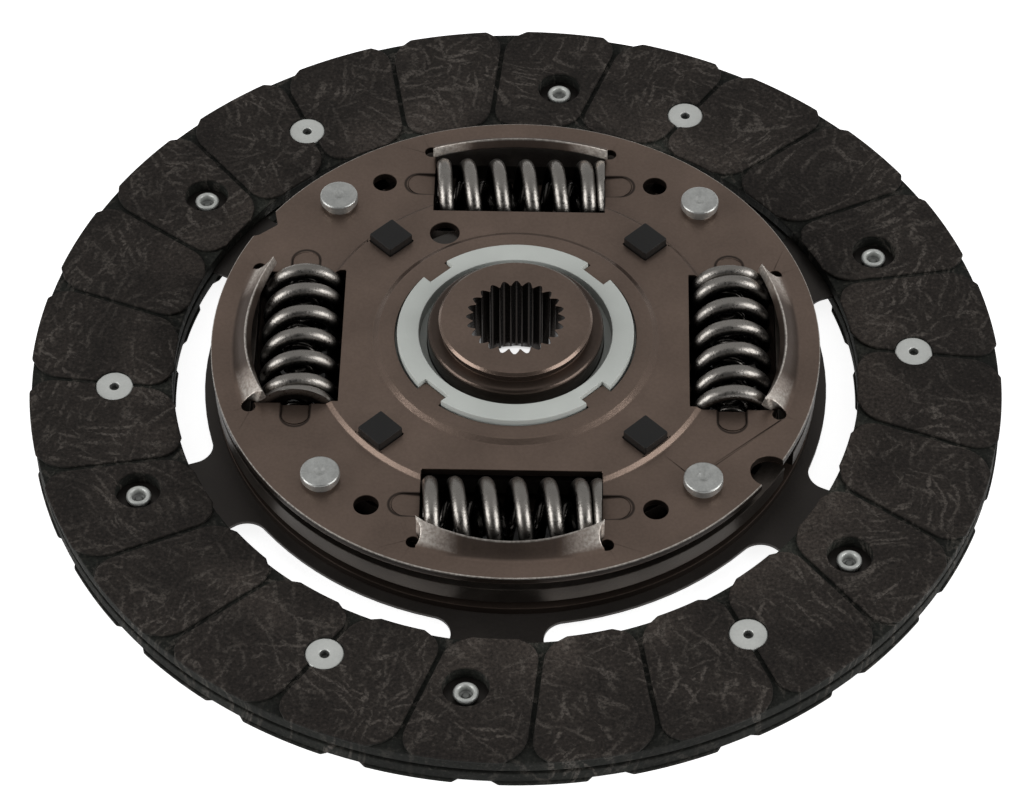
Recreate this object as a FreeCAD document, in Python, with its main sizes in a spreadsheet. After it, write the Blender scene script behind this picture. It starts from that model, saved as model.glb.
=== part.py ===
import FreeCAD, Part
import Sketcher
import math
import os

# Clutch disc with a spring damper. The origin lies on the disc's axis, on the
# lower friction face; Z points from the flywheel side to the cover side.
# Angles are counted in degrees from X towards Y. Lengths are millimetres.

os.makedirs("parts", exist_ok=True)
doc = FreeCAD.newDocument("ClutchDisc")
V = FreeCAD.Vector

NUMBERS = [
    ("facing_width", 29.6, "friction rings, from inside to outside"),
    ("facing_gap", 8.4, "friction rings, from the hub flange rim"),
    ("facing_thickness", 3.5, "one friction ring"),
    ("groove_depth", 0.8, "dust grooves"),
    ("groove_width", 1.0, "dust grooves"),
    ("groove_angle", 2.3, "outer end of the first groove"),
    ("groove_slant", 3.2, "inner end lies this much further round"),
    ("groove_outer_flare", 4.0, "pad corners at the rim, along the rim"),
    ("groove_outer_run", 6.0, "pad corners at the rim, along the groove"),
    ("groove_inner_flare", 4.2, "pad corners at the bore, along the bore"),
    ("groove_inner_run", 5.5, "pad corners at the bore, along the groove"),
    ("groove_count", 24, "grooves in one ring"),
    ("backing_setback", 0.35, "base of the ring inside its pads"),
    ("facing_rivet_inset", 12.2, "rivet circle, from the inside of the rings"),
    ("facing_rivet_count", 6, "rivets for one ring"),
    ("facing_head_angle", 4.5, "rivet heads of a ring"),
    ("facing_access_angle", 24.5, "access holes for the other ring's rivets"),
    ("facing_head_radius", 3.85, "rivet head"),
    ("facing_head_sink", 0.4, "head below the friction face"),
    ("facing_web", 1.0, "ring left under the head"),
    ("facing_shank_radius", 2.0, "rivet shank"),
    ("facing_tail_radius", 2.7, "turned rivet tail"),
    ("facing_tail_length", 1.9, "turned rivet tail"),
    ("facing_hollow_radius", 1.15, "hollow of the rivet"),
    ("access_gap", 1.65, "access holes, round the rivet tails"),
    ("rivet_clearance", 0.05, "round shanks and heads, each side"),
    ("cushion_thickness", 0.8, "spring steel carrier plate"),
    ("cushion_setback", 1.4, "carrier plate inside the rim of the rings"),
    ("cushion_bore_inset", 4.9, "inside of the carrier plate, from the stop rivets"),
    ("slot_angle", 58.1, "middle of the first carrier slot"),
    ("slot_half_angle", 22.3, "half of a carrier slot"),
    ("slot_gap", 2.2, "carrier slots, from the hub flange rim"),
    ("slot_cover", 3.1, "carrier slots, under the friction rings"),
    ("slot_corner", 4.5, "carrier slots, inner corners"),
    ("slot_count", 6, "carrier slots"),
    ("slit_setback", 3.1, "end of the slit between two paddles, from the rim"),
    ("slit_half_width", 0.9, "slit between two paddles"),
    ("sheet", 1.8, "drive plate and cover plate"),
    ("drive_setback", 0.2, "drive plate inside the hub flange rim"),
    ("cover_overhang", 0.3, "cover plate over the hub flange rim"),
    ("cover_step", 0.9, "height of each step of the cover"),
    ("first_step_inset", 2.0, "first step of the cover, from the spring axes"),
    ("cover_first_slope", 1.0, "width of the first step"),
    ("cover_second_step", 29.3, "radius of the second step"),
    ("cover_second_slope", 1.3, "width of the second step"),
    ("cover_bore_radius", 24.7, "cover plate, centre hole"),
    ("tab_radius", 22.2, "locating tabs of the cover"),
    ("tab_half_width", 3.1, "locating tabs of the cover"),
    ("window_margin", 0.1, "spring windows, inside the springs"),
    ("window_half_length", 18.0, "spring windows, half length"),
    ("window_count", 4, "spring windows"),
    ("lip_run", 3.3, "spring lips, from edge to root"),
    ("lip_gap", 2.8, "spring lips, from the springs"),
    ("lip_rise", 3.3, "spring lips, height over the plate"),
    ("drive_window_cover", 1.2, "drive plate, over the inside of the springs"),
    ("drive_lip_cover", 1.4, "lips of the drive plate, over the springs"),
    ("drive_lip_run", 4.0, "lips of the drive plate, from edge to root"),
    ("drive_lip_rise", 2.4, "lips of the drive plate, depth under it"),
    ("lip_overlap", 0.5, "spring lips, past the window each side"),
    ("relief_radius", 1.4, "relief holes at the window corners"),
    ("relief_inset", 1.7, "relief holes, inside the edge of the lips"),
    ("tongue_half_width", 2.9, "coined tongues"),
    ("tongue_reach", 6.2, "coined tongues, past the window"),
    ("tongue_depth", 0.6, "coined tongues, at the window"),
    ("locating_hole_radius", 2.5, "locating holes of the cover"),
    ("locating_hole_across", 28.6, "locating holes, from one centre line"),
    ("locating_hole_along", 44.3, "locating holes, from the other"),
    ("gauge_hole_radius", 3.1, "single hole in the cover"),
    ("gauge_hole_place", 32.8, "single hole, from the axis"),
    ("gauge_hole_angle", 118.0, "single hole"),
    ("round_notch_radius", 3.9, "round notch in the cover's edge"),
    ("round_notch_inset", 0.8, "round notch, its centre inside the edge"),
    ("round_notch_angle", 326.5, "round notch"),
    ("edge_notch_angle", 145.6, "shallow notch in the cover's edge"),
    ("edge_notch_depth", 2.7, "shallow notch"),
    ("stop_rim", 4.2, "hub flange outside its stop slots"),
    ("flange_thickness", 4.0, "hub flange"),
    ("collar_step", 3.0, "collar of the hub, over its shoulder"),
    ("flange_window_inner_gap", 1.4, "hub flange windows, inside the springs"),
    ("flange_window_outer_gap", 1.1, "hub flange windows, outside the springs"),
    ("twist_limit", 10.0, "turn of the hub to each side"),
    ("stop_spare", 0.8, "extra slot angle past the limit"),
    ("stop_slot_margin", 0.4, "stop slots, each side of the rivets"),
    ("rim_notch_angle", 333.5, "open notch in the flange rim"),
    ("rim_notch_half_width", 2.1, "open notch in the flange rim"),
    ("rim_notch_depth", 3.4, "centre of the round end of the notch, from the rim"),
    ("driver_count", 8, "driving teeth between hub and flange"),
    ("driver_height", 2.5, "driving teeth"),
    ("driver_half_width", 3.0, "driving teeth"),
    ("driver_clearance", 0.1, "driving teeth"),
    ("hub_lower_length", 5.3, "hub under the flange"),
    ("hub_lower_step", 1.0, "hub under the flange, inside the shoulder"),
    ("hub_shoulder_radius", 18.0, "hub over the flange"),
    ("hub_shoulder_height", 8.4, "shoulder over the flange"),
    ("hub_shoulder_round", 1.0, "rounded edge of the shoulder"),
    ("hub_nose_step", 2.8, "hub nose, inside the shoulder"),
    ("hub_nose_height", 2.5, "nose over the shoulder"),
    ("hub_edge", 0.6, "broken edges of the hub"),
    ("spline_minor", 8.75, "spline, tips of the teeth"),
    ("spline_depth", 1.25, "spline, depth of the valleys"),
    ("spline_count", 24, "spline teeth"),
    ("spline_valley_half_width", 0.74, "valley at the tips"),
    ("spline_root_half_width", 0.2, "valley at its bottom"),
    ("spline_lead", 1.5, "chamfer at the ends of the bore"),
    ("running_clearance", 0.06, "bushes on the hub, each side"),
    ("washer_thickness", 0.8, "friction washers"),
    ("washer_inset", 1.0, "friction washers, inside the lug ring rim"),
    ("washer_gap", 0.5, "friction washers, round the driving teeth"),
    ("lower_bush_flange", 1.4, "lower bush, flange thickness"),
    ("lower_bush_lip", 8.0, "lower bush, flange past the neck"),
    ("lower_bush_wall", 3.0, "lower bush, wall of the neck"),
    ("lower_bush_length", 2.2, "lower bush, neck"),
    ("guide_flange_play", 0.2, "guide bush, flange in the cover"),
    ("guide_neck_play", 0.5, "guide bush, neck in the cover"),
    ("guide_neck_gap", 1.75, "guide bush, neck round the hub shoulder"),
    ("guide_rise", 1.0, "guide bush, neck over the cover"),
    ("tab_play", 0.2, "tabs in the notches of the guide bush"),
    ("seat_clearance", 0.1, "flat seats with play"),
    ("lug_ring_thickness", 1.8, "lug ring"),
    ("lug_ring_play", 3.0, "lug ring round the guide bush"),
    ("lug_ring_inset", 1.5, "lug ring, inside the spring windows"),
    ("lug_inset", 6.5, "lugs, from the spring axes"),
    ("lug_half_width", 3.2, "lugs"),
    ("lug_clearance", 0.15, "lugs in the cover"),
    ("lug_rise", 1.9, "lugs over the cover"),
    ("arm_half_width", 4.2, "arms of the lug ring"),
    ("arm_margin", 0.1, "arms, past the lugs"),
    ("wave_height", 0.5, "wave washer"),
    ("wave_gap", 0.1, "wave washer, round the second step of the cover"),
    ("stop_gap", 1.3, "stop rivets, from the springs"),
    ("stop_angle", 45.0, "stop rivets"),
    ("stop_head_radius", 3.95, "stop rivet, upper head"),
    ("stop_head_height", 2.7, "stop rivet, upper head"),
    ("stop_skirt_inset", 0.5, "stop rivet, under the edge of the head"),
    ("stop_dimple_radius", 1.2, "stop rivet, centre dimple"),
    ("stop_dimple_depth", 0.5, "stop rivet, centre dimple"),
    ("stop_tail_height", 1.9, "stop rivet, lower head"),
    ("stop_body_radius", 3.7, "stop rivet, between the plates"),
    ("stop_shank_radius", 2.5, "stop rivet, in the plates"),
    ("spring_place", 44.0, "springs, from the axis"),
    ("spring_radius", 8.4, "outer springs, outside"),
    ("spring_wire", 3.2, "outer springs, wire"),
    ("spring_turns", 6.16, "outer springs"),
    ("spring_lift", 1.9, "springs, over the middle of the hub flange"),
    ("spring_last_close", 0.41, "outer springs, closed part of the last turn"),
    ("spring_end_gap", 0.1, "springs in their windows, each end"),
    ("inner_spring_radius", 3.7, "inner springs, outside"),
    ("inner_spring_wire", 1.6, "inner springs, wire"),
    ("inner_spring_turns", 9, "inner springs"),
    ("cut_out_margin", 2.0, "carrier plate cut-outs, past the windows"),
    ("cut_out_reach", 0.7, "carrier plate cut-outs, past the lips"),
]


class Size:
    """A number together with the sheet formula that it comes from."""

    def __init__(self, value, text):
        self.value = value
        self.text = text

    def __add__(self, other):
        other = size(other)
        return Size(self.value + other.value, "(%s + %s)" % (self.text, other.text))

    def __radd__(self, other):
        return size(other) + self

    def __sub__(self, other):
        other = size(other)
        return Size(self.value - other.value, "(%s - %s)" % (self.text, other.text))

    def __rsub__(self, other):
        return size(other) - self

    def __mul__(self, other):
        other = size(other)
        return Size(self.value * other.value, "(%s * %s)" % (self.text, other.text))

    def __rmul__(self, other):
        return size(other) * self

    def __truediv__(self, other):
        other = size(other)
        return Size(self.value / other.value, "(%s / %s)" % (self.text, other.text))

    def __rtruediv__(self, other):
        return size(other) / self

    def __neg__(self):
        return 0 - self


def size(item):
    if isinstance(item, Size):
        return item
    return Size(float(item), "%.9g" % item if item >= 0 else "(%.9g)" % item)


def cosine(angle):
    angle = size(angle)
    return Size(math.cos(math.radians(angle.value)), "cos(%s)" % angle.text)


def sine(angle):
    angle = size(angle)
    return Size(math.sin(math.radians(angle.value)), "sin(%s)" % angle.text)


def root(item):
    return Size(math.sqrt(item.value), "sqrt(%s)" % item.text)


def polar(radius, angle):
    """Point at a radius and an angle, as a pair of sizes."""
    return (radius * cosine(angle), radius * sine(angle))


def spread(width, radius):
    """Angle that a width takes up at a radius, in degrees."""
    return width / radius * (180 / math.pi)


class Sheet:
    """The document's sheet of driving sizes, read as attributes."""

    def __init__(self, rows):
        cells = doc.addObject("Spreadsheet::Sheet", "Sizes")
        for row, (name, value, note) in enumerate(rows, 1):
            cells.set("A%d" % row, note)
            cells.set("B%d" % row, str(value))
            cells.setAlias("B%d" % row, name)
            setattr(self, name, Size(float(value), "Sizes." + name))


s = Sheet(NUMBERS)
doc.recompute()

# Radii that follow from the springs outwards.
spring_inside = s.spring_place - s.spring_radius
spring_outside = s.spring_place + s.spring_radius
s.window_inner = spring_inside - s.window_margin
s.lip_edge_radius = spring_outside + s.lip_gap
s.lip_root_radius = s.lip_edge_radius + s.lip_run
s.drive_window_inner = spring_inside + s.drive_window_cover
s.drive_lip_edge = spring_outside - s.drive_lip_cover
s.drive_lip_root = s.drive_lip_edge + s.drive_lip_run
s.lip_half_width = s.window_half_length + s.lip_overlap
s.flange_window_inner = spring_inside - s.flange_window_inner_gap
s.flange_window_outer = spring_outside + s.flange_window_outer_gap
s.stop_circle = spring_outside + s.stop_gap
s.stop_slot_inner = s.stop_circle - s.stop_body_radius - s.stop_slot_margin
s.stop_slot_outer = s.stop_circle + s.stop_body_radius + s.stop_slot_margin
s.stop_skirt_radius = s.stop_head_radius - s.stop_skirt_inset
s.flange_radius = s.stop_slot_outer + s.stop_rim
s.rim_notch_bottom = s.flange_radius - s.rim_notch_depth
s.drive_radius = s.flange_radius - s.drive_setback
s.cover_radius = s.flange_radius + s.cover_overhang
s.round_notch_place = s.cover_radius - s.round_notch_inset
s.lower_spring_edge = s.window_half_length + s.cut_out_margin
s.lower_spring_reach = s.drive_lip_root + s.cut_out_reach
s.cushion_bore_radius = s.stop_circle - s.cushion_bore_inset
s.slot_inner_radius = s.flange_radius + s.slot_gap
s.facing_bore_radius = s.flange_radius + s.facing_gap
s.facing_radius = s.facing_bore_radius + s.facing_width
s.facing_rivet_circle = s.facing_bore_radius + s.facing_rivet_inset
s.access_radius = s.facing_tail_radius + s.access_gap
s.cushion_radius = s.facing_radius - s.cushion_setback
s.slot_outer_radius = s.facing_bore_radius + s.slot_cover
s.slit_radius = s.cushion_radius - s.slit_setback

# Radii that follow from the springs inwards, and from the hub outwards.
s.cover_first_step = s.spring_place - s.first_step_inset
s.lug_place = s.spring_place - s.lug_inset
s.arm_end = s.lug_place + s.lug_half_width + s.arm_margin
s.lug_ring_radius = s.window_inner - s.lug_ring_inset
s.washer_radius = s.lug_ring_radius - s.washer_inset
s.wave_radius = s.lug_ring_radius
s.wave_bore = s.cover_second_step + s.wave_gap
s.spline_major = s.spline_minor + s.spline_depth
s.hub_lower_radius = s.hub_shoulder_radius - s.hub_lower_step
s.hub_nose_radius = s.hub_shoulder_radius - s.hub_nose_step
s.flange_bore_radius = s.hub_shoulder_radius + s.collar_step
s.driver_radius = s.flange_bore_radius + s.driver_height
s.washer_bore = s.driver_radius + s.washer_gap
s.lower_bush_radius = s.hub_lower_radius + s.lower_bush_wall
s.lower_bush_flange_radius = s.lower_bush_radius + s.lower_bush_lip
s.guide_neck_bore = s.hub_shoulder_radius + s.guide_neck_gap
s.guide_neck_radius = s.cover_bore_radius - s.guide_neck_play
s.guide_notch_floor = s.tab_radius - s.tab_play
s.guide_core_radius = s.guide_notch_floor - s.tab_play
s.guide_flange_radius = s.cover_second_step - s.cover_second_slope - s.guide_flange_play
s.lug_ring_bore = s.guide_core_radius + s.lug_ring_play

# Heights of the stack, from the lower friction face upwards.
cushion_z = s.facing_thickness
upper_facing_z = cushion_z + s.cushion_thickness
drive_top = upper_facing_z + s.sheet
lower_washer_z = drive_top + s.lower_bush_flange
flange_z = lower_washer_z + s.washer_thickness
flange_top = flange_z + s.flange_thickness
lug_ring_z = flange_top + s.washer_thickness
wave_z = lug_ring_z + s.lug_ring_thickness
cover_z = wave_z + s.wave_height - s.cover_step
spring_z = flange_z + s.flange_thickness / 2 + s.spring_lift
s.lug_top = cover_z + s.cover_step + s.sheet + s.lug_rise
s.guide_top = cover_z + 2 * s.cover_step + s.sheet + s.guide_rise
s.hub_bottom = flange_z - s.hub_lower_length
s.hub_shoulder_top = flange_top + s.hub_shoulder_height
s.hub_top = s.hub_shoulder_top + s.hub_nose_height


def bind(item, name, value):
    """Tie a property to the sheet."""
    item.setExpression(name, size(value).text)


def new_body(label):
    body = doc.addObject("PartDesign::Body", label)
    body.Label = label
    return body


def datum(body, role):
    for item in body.Origin.OriginFeatures:
        if item.Role == role:
            return item
    raise ValueError(role)


def new_sketch(body, name, role="XY_Plane", height=0, across=0):
    """Sketch on a plane of the body's own origin, moved up and across."""
    sketch = body.newObject("Sketcher::SketchObject", name)
    sketch.AttachmentSupport = (datum(body, role), [""])
    sketch.MapMode = "FlatFace"
    if isinstance(height, Size):
        bind(sketch, "AttachmentOffset.Base.z", height)
    if isinstance(across, Size):
        bind(sketch, "AttachmentOffset.Base.x", across)
    return sketch


def tie(sketch, constraint, value):
    """Add a measured constraint and tie it to the sheet."""
    value = size(value)
    index = sketch.addConstraint(Sketcher.Constraint(*constraint, value.value))
    if "Sizes." in value.text:
        name = "k%d" % index
        sketch.renameConstraint(index, name)
        sketch.setExpression("Constraints." + name, value.text)


def arc_edge(start, end, radius, turn):
    """Short arc between two points; turn is 1 to the left and -1 to the right."""
    chord = end - start
    half = chord.Length / 2
    rise = math.sqrt(max(radius * radius - half * half, 0.0))
    side = V(-chord.y, chord.x, 0).normalize() * (rise * turn)
    centre = (start + end) / 2 + side
    first = start if turn > 0 else end
    last = end if turn > 0 else start
    a0 = math.atan2(first.y - centre.y, first.x - centre.x)
    a1 = math.atan2(last.y - centre.y, last.x - centre.x)
    if a1 < a0:
        a1 += 2 * math.pi
    circle = Part.Circle(centre, V(0, 0, 1), radius)
    return Part.ArcOfCircle(circle, a0, a1)


def outline(sketch, points):
    """Closed loop through points; a point may carry the arc that leaves it."""
    first = sketch.GeometryCount
    count = len(points)
    corners = [V(size(p[0]).value, size(p[1]).value, 0) for p in points]
    for i, point in enumerate(points):
        start, end = corners[i], corners[(i + 1) % count]
        if len(point) == 2:
            sketch.addGeometry(Part.LineSegment(start, end), False)
        else:
            sketch.addGeometry(arc_edge(start, end, size(point[2]).value, point[3]), False)
    for i, point in enumerate(points):
        following = points[(i + 1) % count]
        leaves = 1 if len(point) == 4 and point[3] < 0 else 2
        enters = 2 if len(following) == 4 and following[3] < 0 else 1
        begins = 2 if len(point) == 4 and point[3] < 0 else 1
        edge = first + i
        after = first + (i + 1) % count
        sketch.addConstraint(Sketcher.Constraint("Coincident", edge, leaves, after, enters))
        tie(sketch, ("DistanceX", -1, 1, edge, begins), point[0])
        tie(sketch, ("DistanceY", -1, 1, edge, begins), point[1])
        if len(point) == 4:
            tie(sketch, ("Radius", edge), point[2])


def ring_line(sketch, radius, centre=(0, 0)):
    """Full circle."""
    place = V(size(centre[0]).value, size(centre[1]).value, 0)
    edge = sketch.addGeometry(Part.Circle(place, V(0, 0, 1), size(radius).value), False)
    tie(sketch, ("DistanceX", -1, 1, edge, 3), centre[0])
    tie(sketch, ("DistanceY", -1, 1, edge, 3), centre[1])
    tie(sketch, ("Radius", edge), radius)


def revolve(body, name, points, across=0):
    """Turned form from a section of radius and height."""
    sketch = new_sketch(body, name + "Section", "XZ_Plane", across=across)
    outline(sketch, points)
    feature = body.newObject("PartDesign::Revolution", name)
    feature.Profile = sketch
    feature.ReferenceAxis = (sketch, ["V_Axis"])
    feature.Angle = 360
    return feature


def pad(body, name, sketch, length):
    feature = body.newObject("PartDesign::Pad", name)
    feature.Profile = sketch
    bind(feature, "Length", length)
    return feature


def cut_down(body, name, sketch, length):
    """Pocket from the sketch downwards."""
    feature = body.newObject("PartDesign::Pocket", name)
    feature.Profile = sketch
    bind(feature, "Length", length)
    return feature


def cut_through(body, name, sketch):
    """Pocket through the whole body, both ways from the sketch."""
    feature = body.newObject("PartDesign::Pocket", name)
    feature.Profile = sketch
    feature.Type = "ThroughAll"
    feature.Midplane = True
    return feature


def around(body, name, features, count):
    """Repeat features evenly about the disc's axis."""
    feature = body.newObject("PartDesign::PolarPattern", name)
    feature.Originals = features
    feature.Axis = (datum(body, "Z_Axis"), [""])
    feature.Angle = 360
    bind(feature, "Occurrences", count)
    body.Tip = feature
    return feature


def set_height(body, height):
    bind(body, "Placement.Base.z", height)


def facing(label):
    """Friction ring, from its back at height 0 to its friction face."""
    body = new_body(label)
    back = s.facing_thickness - s.groove_depth
    inner = s.facing_bore_radius + s.backing_setback
    outer = s.facing_radius - s.backing_setback
    revolve(body, "Ring", [
        (inner, 0),
        (outer, 0),
        (outer, back),
        (s.facing_radius, back),
        (s.facing_radius, s.facing_thickness),
        (s.facing_bore_radius, s.facing_thickness),
        (s.facing_bore_radius, back),
        (inner, back),
    ])
    sketch = new_sketch(body, "GrooveLine", height=s.facing_thickness)
    rim = s.facing_radius
    bore = s.facing_bore_radius
    flare = s.groove_outer_flare
    run = s.groove_outer_run
    throat = s.groove_inner_flare
    depth = s.groove_inner_run
    rim_round = (flare * flare + run * run) / (2 * flare)
    bore_round = (throat * throat + depth * depth) / (2 * throat)
    half = s.groove_width / 2
    slope = s.groove_slant / (rim - bore)
    start = s.groove_angle
    inside = start + s.groove_slant
    outer_wide = spread(half + flare, rim)
    inner_wide = spread(half + throat, bore)
    upper = start + slope * run
    lower = inside - slope * depth
    upper_half = spread(half, rim - run)
    lower_half = spread(half, bore + depth)
    outline(sketch, [
        polar(rim + flare, start - outer_wide),
        polar(rim + flare, start + outer_wide),
        polar(rim, start + outer_wide) + (rim_round, -1),
        polar(rim - run, upper + upper_half),
        polar(bore + depth, lower + lower_half) + (bore_round, -1),
        polar(bore, inside + inner_wide),
        polar(bore - throat, inside + inner_wide),
        polar(bore - throat, inside - inner_wide),
        polar(bore, inside - inner_wide) + (bore_round, -1),
        polar(bore + depth, lower - lower_half),
        polar(rim - run, upper - upper_half) + (rim_round, -1),
        polar(rim, start - outer_wide),
    ])
    groove = cut_down(body, "Groove", sketch, s.groove_depth)
    around(body, "Grooves", [groove], s.groove_count)
    sketch = new_sketch(body, "HeadCircle", height=s.facing_thickness)
    centre = polar(s.facing_rivet_circle, s.facing_head_angle)
    ring_line(sketch, s.facing_head_radius + s.rivet_clearance, centre)
    head = cut_down(body, "HeadHole", sketch, s.facing_thickness - s.facing_web)
    sketch = new_sketch(body, "ShankCircle")
    ring_line(sketch, s.facing_shank_radius + s.rivet_clearance, centre)
    shank = cut_through(body, "ShankHole", sketch)
    sketch = new_sketch(body, "AccessCircle")
    ring_line(sketch, s.access_radius, polar(s.facing_rivet_circle, s.facing_access_angle))
    access = cut_through(body, "AccessHole", sketch)
    around(body, "RivetHoles", [head, shank, access], s.facing_rivet_count)
    return body


def facing_upper():
    body = facing("facing_upper")
    set_height(body, upper_facing_z)


def facing_lower():
    """The same ring turned over, so that heads face the other's access holes."""
    body = facing("facing_lower")
    middle = math.radians((s.facing_head_angle.value + s.facing_access_angle.value) / 2)
    flip = FreeCAD.Rotation(V(math.cos(middle), math.sin(middle), 0), 180)
    body.Placement = FreeCAD.Placement(V(0, 0, 0), flip)
    set_height(body, cushion_z)


def facing_rivets(label, angle, height, turned_over):
    """Hollow rivets: head in its own ring, tail in the other's access hole."""
    body = new_body(label)
    top = s.facing_thickness - s.facing_head_sink
    under = -s.cushion_thickness
    end = under - s.facing_tail_length
    rivet = revolve(body, "Rivet", [
        (0, top),
        (0, 0),
        (s.facing_hollow_radius, 0),
        (s.facing_hollow_radius, end),
        (s.facing_tail_radius, end),
        (s.facing_tail_radius, under),
        (s.facing_shank_radius, under),
        (s.facing_shank_radius, s.facing_web),
        (s.facing_head_radius, s.facing_web),
        (s.facing_head_radius, top),
    ], across=s.facing_rivet_circle)
    around(body, "Rivets", [rivet], s.facing_rivet_count)
    turn = FreeCAD.Rotation(V(0, 0, 1), angle)
    if turned_over:
        middle = math.radians(angle / 2)
        turn = FreeCAD.Rotation(V(math.cos(middle), math.sin(middle), 0), 180)
    body.Placement = FreeCAD.Placement(V(0, 0, 0), turn)
    set_height(body, height)


def cushion_plate():
    """Spring steel carrier with paddles between the friction rings."""
    body = new_body("cushion_plate")
    sketch = new_sketch(body, "Blank")
    ring_line(sketch, s.cushion_radius)
    ring_line(sketch, s.cushion_bore_radius)
    pad(body, "Sheet", sketch, s.cushion_thickness)
    sketch = new_sketch(body, "SlotLine")
    middle = s.slot_angle
    wide = s.slot_half_angle
    inner = s.slot_inner_radius
    outer = s.slot_outer_radius
    corner = s.slot_corner
    turned = spread(corner, inner)
    slit = spread(s.slit_half_width, outer)
    slit_end = spread(s.slit_half_width, s.slit_radius)
    outline(sketch, [
        polar(outer, middle - wide) + (outer, 1),
        polar(outer, middle - slit),
        polar(s.slit_radius, middle - slit_end),
        polar(s.slit_radius, middle + slit_end),
        polar(outer, middle + slit) + (outer, 1),
        polar(outer, middle + wide),
        polar(inner + corner, middle + wide) + (corner, 1),
        polar(inner, middle + wide - turned) + (inner, -1),
        polar(inner, middle - wide + turned) + (corner, 1),
        polar(inner + corner, middle - wide),
    ])
    slot = cut_through(body, "Slot", sketch)
    around(body, "Slots", [slot], s.slot_count)
    sketch = new_sketch(body, "CutOutLine")
    inside = s.cushion_bore_radius / 2
    edge = s.lower_spring_edge
    reach = s.lower_spring_reach
    side = root(reach * reach - edge * edge)
    outline(sketch, [
        (inside, -edge),
        (side, -edge, reach, 1),
        (side, edge),
        (inside, edge),
    ])
    cut_out = cut_through(body, "CutOut", sketch)
    sketch = new_sketch(body, "StopCircle")
    hole = s.stop_shank_radius + s.rivet_clearance
    ring_line(sketch, hole, polar(s.stop_circle, s.stop_angle))
    stop = cut_through(body, "StopHole", sketch)
    around(body, "CutOuts", [cut_out, stop], s.window_count)
    sketch = new_sketch(body, "RivetCircles")
    hole = s.facing_shank_radius + s.rivet_clearance
    ring_line(sketch, hole, polar(s.facing_rivet_circle, s.facing_head_angle))
    ring_line(sketch, hole, polar(s.facing_rivet_circle, s.facing_access_angle))
    rivet = cut_through(body, "RivetHole", sketch)
    around(body, "RivetHoles", [rivet], s.facing_rivet_count)
    set_height(body, cushion_z)


def window_features(body, top, inside, crest, base, rise):
    """One spring window with its lip, relief holes, tongues and rivet hole. The lip
    rises from the radius of its base to its crest."""
    half = s.window_half_length
    side = root(base * base - half * half)
    sketch = new_sketch(body, "WindowLine")
    outline(sketch, [
        (inside, -half),
        (side, -half, base, 1),
        (side, half),
        (inside, half),
    ])
    features = [cut_through(body, "Window", sketch)]

    run = base - crest
    slant = root(run * run + rise * rise)
    bottom = top - s.sheet
    edge_z = top + rise
    under = crest - s.sheet * rise / slant
    under_z = edge_z - s.sheet * run / slant
    foot = under + (under_z - bottom) * run / rise
    fused = base + s.sheet / 3
    sketch = new_sketch(body, "LipSection", "XZ_Plane")
    outline(sketch, [
        (under, under_z),
        (foot, bottom),
        (fused, bottom),
        (fused, top),
        (base, top),
        (crest, edge_z),
    ])
    lip = body.newObject("PartDesign::Revolution", "Lip")
    lip.Profile = sketch
    lip.ReferenceAxis = (sketch, ["V_Axis"])
    lip.Midplane = True
    bind(lip, "Angle", 2 * spread(s.lip_half_width + s.sheet, crest))
    features.append(lip)

    sketch = new_sketch(body, "LipEnds", height=top + rise)
    inner = crest - 2 * rise - s.sheet
    outer = base
    far = s.lip_half_width + 2 * s.sheet
    for sign in (1, -1):
        corners = [
            (inner, sign * s.lip_half_width),
            (outer, sign * s.lip_half_width),
            (outer, sign * far),
            (inner, sign * far),
        ]
        outline(sketch, corners)
    features.append(cut_down(body, "LipTrim", sketch, rise))

    sketch = new_sketch(body, "ReliefCircles")
    for sign in (1, -1):
        centre = (crest - s.relief_inset, sign * (half + s.relief_radius * 0.7))
        ring_line(sketch, s.relief_radius, centre)
    features.append(cut_through(body, "ReliefHoles", sketch))

    angle = math.degrees(math.atan2(s.tongue_depth.value, s.tongue_reach.value))
    incline = root(s.tongue_reach * s.tongue_reach + s.tongue_depth * s.tongue_depth)
    stretch = incline / s.tongue_reach
    for sign, name in ((1, "TongueLeft"), (-1, "TongueRight")):
        sketch = new_sketch(body, name + "Line")
        turn = FreeCAD.Rotation(V(1, 0, 0), sign * angle)
        sketch.AttachmentOffset = FreeCAD.Placement(V(0, 0, 0), turn)
        drop = (half + s.tongue_reach) * s.tongue_depth / s.tongue_reach
        bind(sketch, "AttachmentOffset.Base.z", top - drop)
        width = s.tongue_half_width
        near = (half - s.sheet) * stretch * sign
        straight = (half + s.tongue_reach - width) * stretch * sign
        outline(sketch, [
            (s.spring_place - width, near),
            (s.spring_place + width, near),
            (s.spring_place + width, straight, width * 1.02, sign),
            (s.spring_place - width, straight),
        ])
        tongue = body.newObject("PartDesign::Pocket", name)
        tongue.Profile = sketch
        tongue.Reversed = True
        bind(tongue, "Length", 2 * s.tongue_depth)
        features.append(tongue)

    sketch = new_sketch(body, "StopCircle")
    hole = s.stop_shank_radius + s.rivet_clearance
    ring_line(sketch, hole, polar(s.stop_circle, s.stop_angle))
    features.append(cut_through(body, "StopHole", sketch))
    return features


def locating_holes(body):
    sketch = new_sketch(body, "LocatingCircles")
    for across in (-1, 1):
        for along in (-1, 1):
            centre = (across * s.locating_hole_across, along * s.locating_hole_along)
            ring_line(sketch, s.locating_hole_radius, centre)
    cut_through(body, "LocatingHoles", sketch)


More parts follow.
